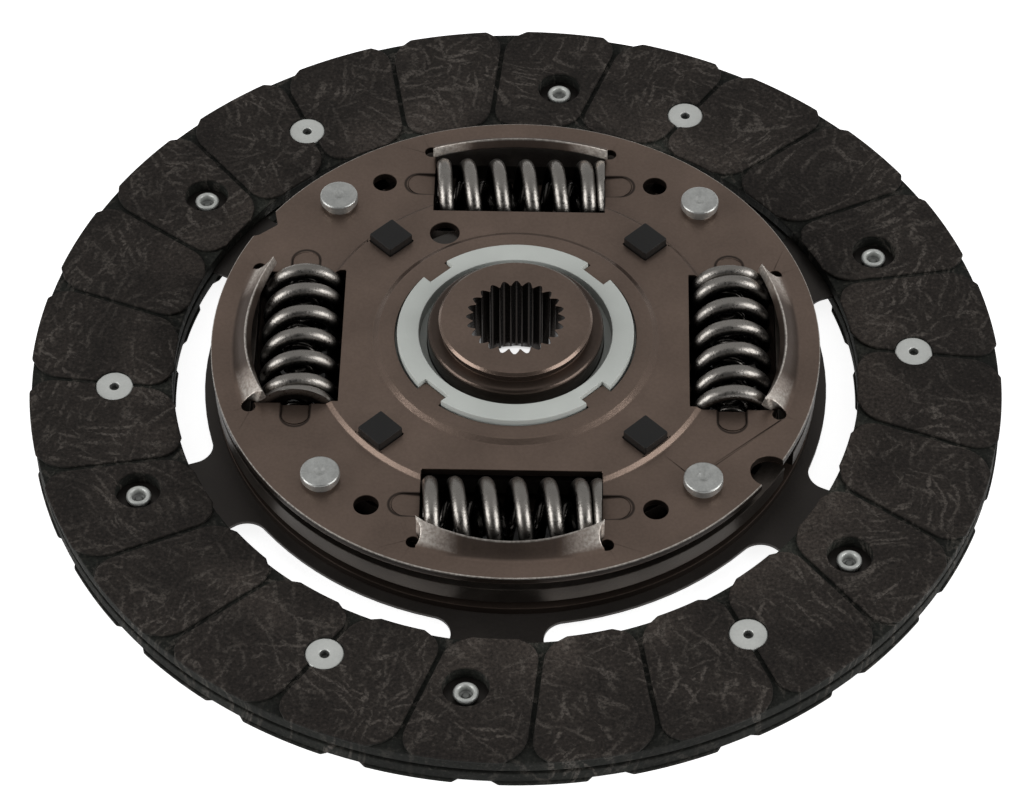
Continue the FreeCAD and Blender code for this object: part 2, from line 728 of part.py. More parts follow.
def cover_plate():
    """Stepped pressing over the damper, height 0 at its outer underside."""
    body = new_body("cover_plate")
    second = s.cover_step * 2
    first_in = s.cover_first_step - s.cover_first_slope
    second_in = s.cover_second_step - s.cover_second_slope
    revolve(body, "Pressing", [
        (s.cover_bore_radius, second),
        (second_in, second),
        (s.cover_second_step, s.cover_step),
        (first_in, s.cover_step),
        (s.cover_first_step, 0),
        (s.cover_radius, 0),
        (s.cover_radius, s.sheet),
        (s.cover_first_step, s.sheet),
        (first_in, s.sheet + s.cover_step),
        (s.cover_second_step, s.sheet + s.cover_step),
        (second_in, s.sheet + second),
        (s.cover_bore_radius, s.sheet + second),
    ])
    features = window_features(body, s.sheet, s.window_inner, s.lip_edge_radius,
                               s.lip_root_radius, s.lip_rise)
    sketch = new_sketch(body, "LugLine")
    reach = s.lug_half_width + s.lug_clearance
    turned = s.stop_angle
    corners = []
    for along, across in ((-1, -1), (1, -1), (1, 1), (-1, 1)):
        radial = s.lug_place + along * reach
        side = across * reach
        corners.append((
            radial * cosine(turned) - side * sine(turned),
            radial * sine(turned) + side * cosine(turned),
        ))
    outline(sketch, corners)
    features.append(cut_through(body, "LugHole", sketch))
    around(body, "Windows", features, s.window_count)

    sketch = new_sketch(body, "TabLine", height=second)
    outer = s.cover_bore_radius + s.sheet / 2
    corners = []
    for radial, side in (
        (s.tab_radius, -s.tab_half_width),
        (outer, -s.tab_half_width),
        (outer, s.tab_half_width),
        (s.tab_radius, s.tab_half_width),
    ):
        corners.append((
            radial * cosine(turned) - side * sine(turned),
            radial * sine(turned) + side * cosine(turned),
        ))
    outline(sketch, corners)
    tab = pad(body, "Tab", sketch, s.sheet)
    around(body, "Tabs", [tab], s.window_count)
    locating_holes(body)

    sketch = new_sketch(body, "GaugeCircle")
    ring_line(sketch, s.gauge_hole_radius, polar(s.gauge_hole_place, s.gauge_hole_angle))
    cut_through(body, "GaugeHole", sketch)
    sketch = new_sketch(body, "RoundNotchCircle")
    ring_line(sketch, s.round_notch_radius, polar(s.round_notch_place, s.round_notch_angle))
    cut_through(body, "RoundNotch", sketch)
    sketch = new_sketch(body, "EdgeNotchLine")
    depth = s.edge_notch_depth
    start = s.edge_notch_angle
    outline(sketch, [
        polar(s.cover_radius - depth, start + spread(depth, s.cover_radius)),
        polar(s.cover_radius + depth, start - spread(depth, s.cover_radius)),
        polar(s.cover_radius + depth, start + spread(4 * depth, s.cover_radius)),
        polar(s.cover_radius - depth / 3, start + spread(2.7 * depth, s.cover_radius)),
    ])
    cut_through(body, "EdgeNotch", sketch)
    set_height(body, cover_z)


def drive_plate():
    """Lower plate, turned over so that its lips point down."""
    body = new_body("drive_plate")
    sketch = new_sketch(body, "Blank")
    ring_line(sketch, s.drive_radius)
    ring_line(sketch, s.lower_bush_radius + s.seat_clearance)
    pad(body, "Plate", sketch, s.sheet)
    features = window_features(body, s.sheet, s.drive_window_inner, s.drive_lip_edge,
                               s.drive_lip_root, s.drive_lip_rise)
    around(body, "Windows", features, s.window_count)
    locating_holes(body)
    body.Placement = FreeCAD.Placement(V(0, 0, 0), FreeCAD.Rotation(V(1, 0, 0), 180))
    set_height(body, drive_top)


def stop_rivets():
    """Rivets that hold the plates apart and stop the hub flange."""
    body = new_body("stop_rivets")
    top = cover_z + s.sheet
    peak = top + s.stop_head_height
    edge = s.stop_head_radius - s.stop_skirt_radius
    rivet = revolve(body, "Rivet", [
        (0, cushion_z - s.stop_tail_height),
        (s.stop_head_radius, cushion_z - s.stop_tail_height),
        (s.stop_head_radius, cushion_z),
        (s.stop_shank_radius, cushion_z),
        (s.stop_shank_radius, drive_top),
        (s.stop_body_radius, drive_top),
        (s.stop_body_radius, cover_z),
        (s.stop_shank_radius, cover_z),
        (s.stop_shank_radius, top),
        (s.stop_skirt_radius, top),
        (s.stop_skirt_radius, top + s.stop_head_height / 4),
        (s.stop_head_radius, top + s.stop_head_height / 4 + edge),
        (s.stop_head_radius, peak - edge),
        (s.stop_head_radius - edge, peak),
        (s.stop_dimple_radius, peak),
        (0, peak - s.stop_dimple_depth),
    ], across=s.stop_circle)
    around(body, "Rivets", [rivet], s.window_count)
    turn = FreeCAD.Rotation(V(0, 0, 1), s.stop_angle.value)
    body.Placement = FreeCAD.Placement(V(0, 0, 0), turn)


def hub():
    """Splined hub with driving teeth for the flange."""
    body = new_body("hub")
    minor = s.spline_minor
    lead = s.spline_lead
    edge = s.hub_edge
    low = s.hub_bottom
    high = s.hub_top
    shoulder = s.hub_shoulder_radius
    bend = s.hub_shoulder_round
    collar = s.flange_bore_radius - s.driver_clearance
    revolve(body, "Turning", [
        (minor, low + lead),
        (minor + lead, low),
        (s.hub_lower_radius - edge, low),
        (s.hub_lower_radius, low + edge),
        (s.hub_lower_radius, flange_z),
        (collar, flange_z),
        (collar, flange_top),
        (shoulder, flange_top),
        (shoulder, s.hub_shoulder_top - bend, bend, 1),
        (shoulder - bend, s.hub_shoulder_top),
        (s.hub_nose_radius, s.hub_shoulder_top),
        (s.hub_nose_radius, high - edge),
        (s.hub_nose_radius - edge, high),
        (minor + lead, high),
        (minor, high - lead),
    ])
    sketch = new_sketch(body, "ValleyLine")
    start = minor - s.spline_valley_half_width
    outline(sketch, [
        (start, -s.spline_valley_half_width),
        (minor, -s.spline_valley_half_width),
        (s.spline_major, -s.spline_root_half_width),
        (s.spline_major, s.spline_root_half_width),
        (minor, s.spline_valley_half_width),
        (start, s.spline_valley_half_width),
    ])
    valley = cut_through(body, "Valley", sketch)
    around(body, "Spline", [valley], s.spline_count)
    sketch = new_sketch(body, "DriverLine", height=flange_z)
    inner = (s.hub_lower_radius + s.flange_bore_radius) / 2
    outline(sketch, [
        (inner, -s.driver_half_width),
        (s.driver_radius, -s.driver_half_width),
        (s.driver_radius, s.driver_half_width),
        (inner, s.driver_half_width),
    ])
    driver = pad(body, "Driver", sketch, s.flange_thickness)
    around(body, "Drivers", [driver], s.driver_count)


def hub_flange():
    """Flange between the plates, with spring windows and stop slots."""
    body = new_body("hub_flange")
    sketch = new_sketch(body, "Blank")
    ring_line(sketch, s.flange_radius)
    ring_line(sketch, s.flange_bore_radius)
    pad(body, "Plate", sketch, s.flange_thickness)
    sketch = new_sketch(body, "WindowLine")
    half = s.window_half_length
    outline(sketch, [
        (s.flange_window_inner, -half),
        (s.flange_window_outer, -half),
        (s.flange_window_outer, half),
        (s.flange_window_inner, half),
    ])
    window = cut_through(body, "Window", sketch)
    sketch = new_sketch(body, "StopLine")
    half_angle = s.twist_limit + s.stop_spare + spread(s.stop_body_radius, s.stop_circle)
    inner = s.stop_slot_inner
    outer = s.stop_slot_outer
    start = s.stop_angle - half_angle
    end = s.stop_angle + half_angle
    outline(sketch, [
        polar(outer, start) + (outer, 1),
        polar(outer, end),
        polar(inner, end) + (inner, -1),
        polar(inner, start),
    ])
    slot = cut_through(body, "StopSlot", sketch)
    around(body, "Windows", [window, slot], s.window_count)
    sketch = new_sketch(body, "DriverLine")
    wide = s.driver_half_width + s.driver_clearance
    outline(sketch, [
        (s.flange_bore_radius / 2, -wide),
        (s.driver_radius + s.driver_clearance, -wide),
        (s.driver_radius + s.driver_clearance, wide),
        (s.flange_bore_radius / 2, wide),
    ])
    gap = cut_through(body, "DriverGap", sketch)
    around(body, "DriverGaps", [gap], s.driver_count)
    sketch = new_sketch(body, "RimNotchLine")
    angle = s.rim_notch_angle
    wide = s.rim_notch_half_width
    beyond = s.flange_radius + wide
    low = s.rim_notch_bottom
    corners = []
    for radial, side in ((low, -wide), (beyond, -wide), (beyond, wide), (low, wide)):
        corners.append((
            radial * cosine(angle) - side * sine(angle),
            radial * sine(angle) + side * cosine(angle),
        ))
    corners[3] = corners[3] + (wide * 1.02, 1)
    outline(sketch, corners)
    cut_through(body, "RimNotch", sketch)
    set_height(body, flange_z)


def lug_ring():
    """Friction control ring whose four lugs reach through the cover."""
    body = new_body("lug_ring")
    sketch = new_sketch(body, "Blank")
    ring_line(sketch, s.lug_ring_radius)
    ring_line(sketch, s.lug_ring_bore)
    pad(body, "Ring", sketch, s.lug_ring_thickness)
    sketch = new_sketch(body, "ArmLine")
    inner = (s.lug_ring_radius + s.lug_ring_bore) / 2
    outline(sketch, [
        (inner, -s.arm_half_width),
        (s.arm_end, -s.arm_half_width),
        (s.arm_end, s.arm_half_width),
        (inner, s.arm_half_width),
    ])
    arm = pad(body, "Arm", sketch, s.lug_ring_thickness)
    sketch = new_sketch(body, "LugLine")
    outline(sketch, [
        (s.lug_place - s.lug_half_width, -s.lug_half_width),
        (s.lug_place + s.lug_half_width, -s.lug_half_width),
        (s.lug_place + s.lug_half_width, s.lug_half_width),
        (s.lug_place - s.lug_half_width, s.lug_half_width),
    ])
    lug = pad(body, "Lug", sketch, s.lug_top - lug_ring_z)
    around(body, "Lugs", [arm, lug], s.window_count)
    turn = FreeCAD.Rotation(V(0, 0, 1), s.stop_angle.value)
    body.Placement = FreeCAD.Placement(V(0, 0, 0), turn)
    set_height(body, lug_ring_z)


def guide_bush():
    """Pale bush that centres the cover on the hub."""
    body = new_body("guide_bush")
    bore = s.hub_shoulder_radius + s.running_clearance
    core_z = flange_top + 2 * s.seat_clearance
    flange_low = wave_z
    flange_high = cover_z + 2 * s.cover_step - s.seat_clearance
    revolve(body, "Moulding", [
        (bore, core_z),
        (s.guide_core_radius, core_z),
        (s.guide_core_radius, flange_low),
        (s.guide_flange_radius, flange_low),
        (s.guide_flange_radius, flange_high),
        (s.guide_neck_radius, flange_high),
        (s.guide_neck_radius, s.guide_top),
        (s.guide_neck_bore, s.guide_top),
        (s.guide_neck_bore, flange_high),
        (bore, flange_high),
    ])
    sketch = new_sketch(body, "NotchLine", height=s.guide_top)
    wide = s.tab_half_width + s.seat_clearance
    turned = s.stop_angle
    outer = s.guide_neck_radius + wide
    corners = []
    for radial, side in (
        (s.guide_notch_floor, -wide),
        (outer, -wide),
        (outer, wide),
        (s.guide_notch_floor, wide),
    ):
        corners.append((
            radial * cosine(turned) - side * sine(turned),
            radial * sine(turned) + side * cosine(turned),
        ))
    outline(sketch, corners)
    notch = cut_down(body, "Notch", sketch, s.guide_top - flange_high)
    around(body, "Notches", [notch], s.window_count)


def lower_bush():
    """Bush under the flange that centres the drive plate on the hub."""
    body = new_body("lower_bush")
    bore = s.hub_lower_radius + s.running_clearance
    revolve(body, "Moulding", [
        (bore, drive_top - s.lower_bush_length),
        (s.lower_bush_radius, drive_top - s.lower_bush_length),
        (s.lower_bush_radius, drive_top),
        (s.lower_bush_flange_radius, drive_top),
        (s.lower_bush_flange_radius, lower_washer_z),
        (bore, lower_washer_z),
    ])


def flat_ring(label, outside, inside, height, start):
    """Plain washer."""
    disc = doc.addObject("Part::Cylinder", label + "_blank")
    bind(disc, "Radius", outside)
    bind(disc, "Height", height)
    hole = doc.addObject("Part::Cylinder", label + "_hole")
    bind(hole, "Radius", inside)
    bind(hole, "Height", height)
    ring = doc.addObject("Part::Cut", label)
    ring.Base = disc
    ring.Tool = hole
    ring.Label = label
    bind(ring, "Placement.Base.z", start)


def coil(radius, wire, turns, length, hand, sides, steps, close):
    """Compression spring along Y with closed, ground ends, in short straight runs.
    Hand is -1 for a right-hand coil, which starts opposite the other one, and close
    is the part of the last turn that lies closed."""
    mean = radius - wire / 2
    tight = wire * 1.05
    total = length - wire / 2
    free = (total - (1 + close) * tight) / (turns - 1 - close)
    points = []
    count = int(round(turns * steps))
    for i in range(count + 1):
        turn = turns * i / count
        if turn < 1:
            along = tight * turn
        elif turn > turns - close:
            along = total - tight * (turns - turn)
        else:
            along = tight + free * (turn - 1)
        angle = hand * 2 * math.pi * turn + (math.pi if hand < 0 else 0)
        points.append(V(mean * math.cos(angle), along - total / 2, mean * math.sin(angle)))
    ahead = (points[1] - points[0]).normalize()
    outwards = V(1, 0, 0)
    upwards = ahead.cross(outwards).normalize()
    corners = []
    for k in range(sides):
        turn = 2 * math.pi * (k + 0.5) / sides
        arm = outwards * math.cos(turn) + upwards * math.sin(turn)
        corners.append(points[0] + arm * (wire / 2))
    section = Part.makePolygon(corners + [corners[0]])
    swept = Part.makePolygon(points).makePipeShell([section], True, False, 1)
    block = Part.makeBox(4 * radius, length, 4 * radius, V(-2 * radius, -length / 2, -2 * radius))
    ground = swept.common(block)
    return ground.Solids[0] if len(ground.Solids) == 1 else ground


def springs():
    """Outer and inner springs in the four windows."""
    length = 2 * (s.window_half_length.value - s.spring_end_gap.value)
    outer = coil(s.spring_radius.value, s.spring_wire.value, s.spring_turns.value,
                 length, -1, 6, 12, s.spring_last_close.value)
    inner = coil(s.inner_spring_radius.value, s.inner_spring_wire.value,
                 s.inner_spring_turns.value, length, 1, 4, 8, 1)
    for index, side in enumerate(("right", "far", "left", "near")):
        angle = 90 * index
        turn = FreeCAD.Rotation(V(0, 0, 1), angle)
        middle = turn.multVec(V(s.spring_place.value, 0, 0))
        if side != "far":
            turn = FreeCAD.Rotation(V(0, 0, 1), angle + 180)
        place = FreeCAD.Placement(middle + V(0, 0, spring_z.value), turn)
        for kind, form in (("outer", outer), ("inner", inner)):
            piece = doc.addObject("Part::Feature", "%s_spring_%s" % (kind, side))
            piece.Label = "%s_spring_%s" % (kind, side)
            piece.Shape = form
            piece.Placement = place


facing_upper()
facing_lower()
facing_rivets("facing_rivets_upper", s.facing_head_angle.value, upper_facing_z, False)
facing_rivets("facing_rivets_lower", s.facing_access_angle.value, cushion_z, True)
cushion_plate()
drive_plate()
cover_plate()
stop_rivets()
hub()
hub_flange()
lug_ring()
guide_bush()
lower_bush()
flat_ring("upper_friction_washer", s.washer_radius, s.washer_bore,
          s.washer_thickness, flange_top)
flat_ring("lower_friction_washer", s.washer_radius, s.washer_bore,
          s.washer_thickness, lower_washer_z)
flat_ring("wave_spring", s.wave_radius, s.wave_bore, s.wave_height, wave_z)
springs()
doc.recompute()

NODES = [
    "facing_upper", "facing_lower", "facing_rivets_upper", "facing_rivets_lower",
    "cushion_plate", "drive_plate", "cover_plate", "stop_rivets", "hub", "hub_flange",
    "lug_ring", "guide_bush", "lower_bush", "upper_friction_washer",
    "lower_friction_washer", "wave_spring",
    "outer_spring_right", "outer_spring_far", "outer_spring_left", "outer_spring_near",
    "inner_spring_right", "inner_spring_far", "inner_spring_left", "inner_spring_near",
]

failed = [item.Name for item in doc.Objects if {"Invalid", "Error"} & set(item.State)]
if failed:
    raise RuntimeError("failed: " + ", ".join(failed))
for name in NODES:
    shape = doc.getObjectsByLabel(name)[0].Shape
    if shape.isNull() or not shape.isValid() or not shape.Solids:
        raise RuntimeError("bad shape: " + name)
for name in NODES:
    shape = doc.getObjectsByLabel(name)[0].Shape
    shape.exportStep("parts/%s.step" % name)
    print(name, len(shape.Solids), "solids", round(shape.Volume, 1), "mm3")
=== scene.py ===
import math

import bmesh
import bpy
from bpy.props import FloatProperty, FloatVectorProperty, IntProperty, PointerProperty
from mathutils import Matrix, Vector


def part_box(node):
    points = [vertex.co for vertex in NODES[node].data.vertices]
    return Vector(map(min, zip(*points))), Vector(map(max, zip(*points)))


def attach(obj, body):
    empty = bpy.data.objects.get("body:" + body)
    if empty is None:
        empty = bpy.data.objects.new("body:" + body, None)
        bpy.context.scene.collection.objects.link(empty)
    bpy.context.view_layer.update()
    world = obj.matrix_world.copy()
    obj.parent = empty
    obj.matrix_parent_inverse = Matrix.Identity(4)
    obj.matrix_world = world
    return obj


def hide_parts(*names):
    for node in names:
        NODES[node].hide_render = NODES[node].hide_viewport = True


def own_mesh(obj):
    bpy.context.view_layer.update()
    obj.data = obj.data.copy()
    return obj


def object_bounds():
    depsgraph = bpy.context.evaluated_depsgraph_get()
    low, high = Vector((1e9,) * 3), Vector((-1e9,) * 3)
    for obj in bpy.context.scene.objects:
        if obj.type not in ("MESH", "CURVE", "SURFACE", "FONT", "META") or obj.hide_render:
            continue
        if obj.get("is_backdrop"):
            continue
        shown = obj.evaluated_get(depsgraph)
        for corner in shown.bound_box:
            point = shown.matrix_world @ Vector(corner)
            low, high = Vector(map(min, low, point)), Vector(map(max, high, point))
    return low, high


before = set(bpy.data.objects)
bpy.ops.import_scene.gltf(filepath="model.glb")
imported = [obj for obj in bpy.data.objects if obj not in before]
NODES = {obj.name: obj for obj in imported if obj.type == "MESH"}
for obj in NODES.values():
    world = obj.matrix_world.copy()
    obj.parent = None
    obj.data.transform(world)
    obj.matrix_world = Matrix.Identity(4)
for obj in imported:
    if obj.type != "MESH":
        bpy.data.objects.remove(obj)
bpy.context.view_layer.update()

bl_info = {
    "name": "Clutch disc",
    "version": (1, 0, 0),
    "blender": (4, 5, 0),
    "location": "3D View > Sidebar > Clutch disc",
    "description": "Builds a sprung clutch disc with its finishes, its studio and its camera",
    "category": "Object",
}

MM = 0.001
# Direction of each window, and how far its spring is turned end for end.
SIDES = {"right": (0, 180), "far": (90, 0), "left": (180, 180), "near": (270, 180)}


def linear(hex_colour):
    """Linear colour of an sRGB hex value."""
    channels = [int(hex_colour[i:i + 2], 16) / 255 for i in (0, 2, 4)]
    return tuple(c / 12.92 if c <= 0.04045 else ((c + 0.055) / 1.055) ** 2.4 for c in channels)


def length(name, millimetres, description):
    """Property for a length, given in millimetres and kept in metres."""
    return FloatProperty(name=name, description=description, default=millimetres * MM,
                         min=0.0, subtype="DISTANCE", unit="LENGTH", precision=5)


def turn(name, degrees, description):
    """Property for an angle, given in degrees."""
    return FloatProperty(name=name, description=description, default=math.radians(degrees),
                         subtype="ANGLE", unit="ROTATION")


def number(name, default, description, least=1):
    """Property for a whole number."""
    return IntProperty(name=name, description=description, default=default, min=least)


def winding(name, default, description, **limits):
    """Property for a number of turns."""
    return FloatProperty(name=name, description=description, default=default, **limits)


def colour(name, hex_colour, description):
    """Property for a colour, given as an sRGB hex value."""
    return FloatVectorProperty(name=name, description=description, default=linear(hex_colour),
                               min=0.0, max=1.0, size=3, subtype="COLOR")


class DiscSizes(bpy.types.PropertyGroup):
    """Sizes that the scene adds to the CAD model, and those of the model that it follows."""

    pad_count: number("Pads", 24, "Friction pads on one ring", 3)
    groove_width: length("Groove width", 1.0, "Width of the dust grooves")
    groove_angle: turn("Groove angle", 2.3, "Where the first groove meets the rim")
    groove_slant: turn("Groove slant", 3.2, "Turn of a groove from rim to bore")
    rim_flare: length("Rim flare", 4.0, "Round pad corner at the rim, along the rim")
    rim_run: length("Rim run", 6.0, "Round pad corner at the rim, along the groove")
    bore_flare: length("Bore flare", 4.2, "Round pad corner at the bore, along the bore")
    bore_run: length("Bore run", 5.5, "Round pad corner at the bore, along the groove")
    lining_width: length("Lining width", 29.6, "Width of a friction ring from rim to bore")
    backing: length("Backing", 2.7, "Thickness of the ring under its pads")
    backing_setback: length("Backing setback", 0.35, "Backing inside the pads")
    rivet_circle: length("Rivet circle", 82.6, "Radius of the circle of lining rivets")
    rivet_count: number("Lining rivets", 6, "Rivets of one ring")
    head_angle: turn("Head angle", 4.5, "Angle of the first rivet head")
    access_angle: turn("Access angle", 24.5, "Angle of the first access hole")
    head_hole: length("Head hole", 3.9, "Radius of the hole for a rivet head")
    shank_hole: length("Shank hole", 2.05, "Radius of the hole for a rivet shank")
    access_hole: length("Access hole", 4.6, "Radius of the hole for a rivet tail")
    web: length("Web", 1.0, "Lining left under a rivet head")
    pad_edge: length("Pad edge", 0.35, "Rounding of the pads")
    sheet: length("Sheet", 1.8, "Thickness of the cover plate and the drive plate")
    sheet_edge: length("Sheet edge", 0.2, "Rounding of pressed sheet edges")
    stop_circle: length("Stop circle", 53.7, "Radius of the circle of stop rivets")
    lip_circle: length("Lip circle", 49.0, "Radius that lies inside all lips of the cover")
    lip_width: length("Lip width", 18.5, "Half the width of a lip")
    lip_lift: length("Lip lift", 1.3, "Rise of a lip from its middle to its ends")
    tongue_end: length("Tongue end", 21.3, "Straight part of a tongue, from the window's middle")
    tongue_width: length("Tongue width", 2.9, "Half the width of a tongue")
    valley_circle: length("Valley circle", 10.0, "Radius at the bottoms of the hub's spline")
    tooth_depth: length("Tooth depth", 1.25, "Depth of the hub's spline")
    tooth_count: number("Teeth", 24, "Teeth of the hub's spline", 3)
    spring_place: length("Spring place", 44.0, "Distance of the springs from the axis")
    spring_radius: length("Spring radius", 8.4, "Outside radius of the outer springs")
    spring_wire: length("Spring wire", 3.2, "Wire of the outer springs")
    spring_turns: winding("Spring turns", 6.89, "Turns of the outer springs", min=3.0)
    first_closed: winding("First turns closed", 1.17, "Turns closed at the first end", min=0.0, max=1.5)
    last_closed: winding("Last turns closed", 1.0, "Turns closed at the last end", min=0.0, max=1.5)
    inner_radius: length("Inner spring radius", 3.7, "Outside radius of the inner springs")
    inner_wire: length("Inner spring wire", 1.6, "Wire of the inner springs")
    inner_turns: winding("Inner spring turns", 9.0, "Turns of the inner springs", min=3.0)
    spring_length: length("Spring length", 35.8, "Length of the springs in their windows")


class DiscColours(bpy.types.PropertyGroup):
    """Colours of the finishes."""

    lining: colour("Lining", "231f1c", "Pressed face of the friction lining")
    # Painted shade: the darker, greener colour drawn below the pad faces, in the grooves.
    lining_groove_shade: colour("Lining grooves", "191a17", "Groove floors of the friction lining")
    yarn: colour("Yarn", "6e6760", "Yarn that shows in the friction lining")
    phosphate: colour("Phosphate", "736359", "Brown phosphated plates and hub")
    # Also the colour of the painted highlights on the lips and the rim.
    rubbed_and_highlight: colour("Rubbed steel", "d6d0c8", "Phosphated steel where it is rubbed bare")
    black_steel: colour("Black steel", "3e3a37", "Blackened carrier plate")
    sheared: colour("Sheared steel", "4c4641", "Sheared edge of the hub flange")
    zinc: colour("Zinc", "cdcfcb", "Zinc plated rivets")
    bruised_zinc: colour("Bruised zinc", "b4b5b2", "Upset heads of the stop rivets")
    spring: colour("Spring steel", "8f8b86", "Coil springs")
    # Painted shade: a darker spring steel for parts that lie in shade.
    dark_spring: colour("Dark spring steel", "4e4b48", "Inner springs and waved washer")
    pale_nylon: colour("Pale nylon", "c2c6c1", "Guide bush")
    black_nylon: colour("Black nylon", "100f0e", "Lug ring and washers")
    floor: colour("Floor", "d8d8d8", "Studio floor")


class DiscSettings(bpy.types.PropertyGroup):
    """Everything that the sidebar shows."""

    sizes: PointerProperty(type=DiscSizes)
    colours: PointerProperty(type=DiscColours)


def add(tree, kind, inputs=None, **settings):
    """Add a node with its settings, and set or link its inputs."""
    item = tree.nodes.new(kind)
    for name, value in settings.items():
        setattr(item, name, value)
    for key, value in (inputs or {}).items():
        socket = item.inputs[key]
        if isinstance(value, bpy.types.NodeSocket):
            tree.links.new(value, socket)
        elif socket.type == "RGBA" and len(value) == 3:
            socket.default_value = (*value, 1.0)
        else:
            socket.default_value = value
    return item


def maths(tree, operation, *inputs):
    """Result of a maths node."""
    return add(tree, "ShaderNodeMath", dict(enumerate(inputs)), operation=operation).outputs[0]


def vector(tree, operation, *inputs):
    """Result of a vector maths node."""
    item = add(tree, "ShaderNodeVectorMath", dict(enumerate(inputs)), operation=operation)
    return item.outputs["Value" if operation in {"LENGTH", "DOT_PRODUCT"} else "Vector"]


def scaled(tree, base_colour, factor):
    """Colour times a number."""
    return add(tree, "ShaderNodeVectorMath", {0: base_colour, "Scale": factor}, operation="SCALE").outputs[0]


def ramp(tree, value, low, high, first, last, kind="LINEAR"):
    """Number that runs from first to last while a value runs from low to high."""
    return add(tree, "ShaderNodeMapRange", {0: value, 1: low, 2: high, 3: first, 4: last},
               interpolation_type=kind).outputs[0]


def blend(tree, amount, first, second):
    """Mix of two colours."""
    return add(tree, "ShaderNodeMix", {0: amount, 6: first, 7: second}, data_type="RGBA").outputs[2]


def noise(tree, place, size, detail, output="Fac", roughness=0.5):
    """Noise with spots of a size in millimetres."""
    return add(tree, "ShaderNodeTexNoise", {"Vector": place, "Scale": 1 / (size * MM), "Detail": detail,
                                            "Roughness": roughness}).outputs[output]


def apart(tree, value):
    """The three parts of a vector."""
    return add(tree, "ShaderNodeSeparateXYZ", {0: value}).outputs


def together(tree, **parts):
    """Vector from its parts x, y and z."""
    inputs = {name.upper(): value for name, value in parts.items()}
    return add(tree, "ShaderNodeCombineXYZ", inputs).outputs[0]


def new_material(name):
    """Empty material, its node tree and its place on the object."""
    material = bpy.data.materials.new(name)
    material.use_nodes = True
    tree = material.node_tree
    tree.nodes.clear()
    return material, tree, add(tree, "ShaderNodeTexCoord").outputs["Object"]


def finish_material(tree, base, roughness, height, depth, **shader):
    """Shader with colour, roughness and bump, and constants on its own sockets."""
    bump = add(tree, "ShaderNodeBump", {"Strength": 1.0, "Distance": depth * MM, "Height": height})
    inputs = {"Base Color": base, "Roughness": roughness, "Normal": bump.outputs[0]}
    inputs.update({name.replace("_", " "): value for name, value in shader.items()})
    surface = add(tree, "ShaderNodeBsdfPrincipled", inputs)
    add(tree, "ShaderNodeOutputMaterial", {0: surface.outputs[0]})


def strayed(tree, place, source, size, detail, reach):
    """Place moved sideways by noise of a size, by up to half a reach, in millimetres."""
    moved = vector(tree, "SUBTRACT", noise(tree, source, size, detail, "Color"), (0.5, 0.5, 0.5))
    return vector(tree, "MULTIPLY_ADD", moved, (reach * MM, reach * MM, 0), place)


def yarn_strokes(tree, place):
    """Strokes of yarn: they lie in patches of parallel strokes, and each patch has its
    own direction. A stroke is 3 to 12 mm long and 0.6 to 1 mm wide."""
    pitch, run = 2.6, 7.0
    strokes = 0.0
    for seed, cell, gate in ((0, 15, 0.52), (31, 21, 0.54), (57, 11, 0.56)):
        away = vector(tree, "ADD", place, (seed * MM, seed * MM, 0))
        patches = add(tree, "ShaderNodeTexVoronoi", {"Vector": away, "Scale": 1 / (cell * MM)},
                      voronoi_dimensions="2D")
        way = maths(tree, "MULTIPLY", apart(tree, patches.outputs["Color"])[0], math.pi)
        turned = add(tree, "ShaderNodeVectorRotate", {"Vector": away, "Angle": way},
                     rotation_type="Z_AXIS").outputs[0]
        # Strokes lie side by side, and come and go along their length.
        wave = maths(tree, "MULTIPLY", apart(tree, turned)[1], 2 * math.pi / (pitch * MM))
        yarn = ramp(tree, maths(tree, "SINE", wave), 0.1, 0.9, 0.0, 1.0, "SMOOTHSTEP")
        drawn = vector(tree, "MULTIPLY", turned, (1 / run, 1 / pitch, 0.0))
        shown = ramp(tree, noise(tree, drawn, 1.0, 1.0, roughness=0.4), gate - 0.05, gate + 0.13,
                     0.0, 1.0, "SMOOTHSTEP")
        strokes = maths(tree, "MAXIMUM", maths(tree, "MULTIPLY", yarn, shown), strokes)
    return strokes


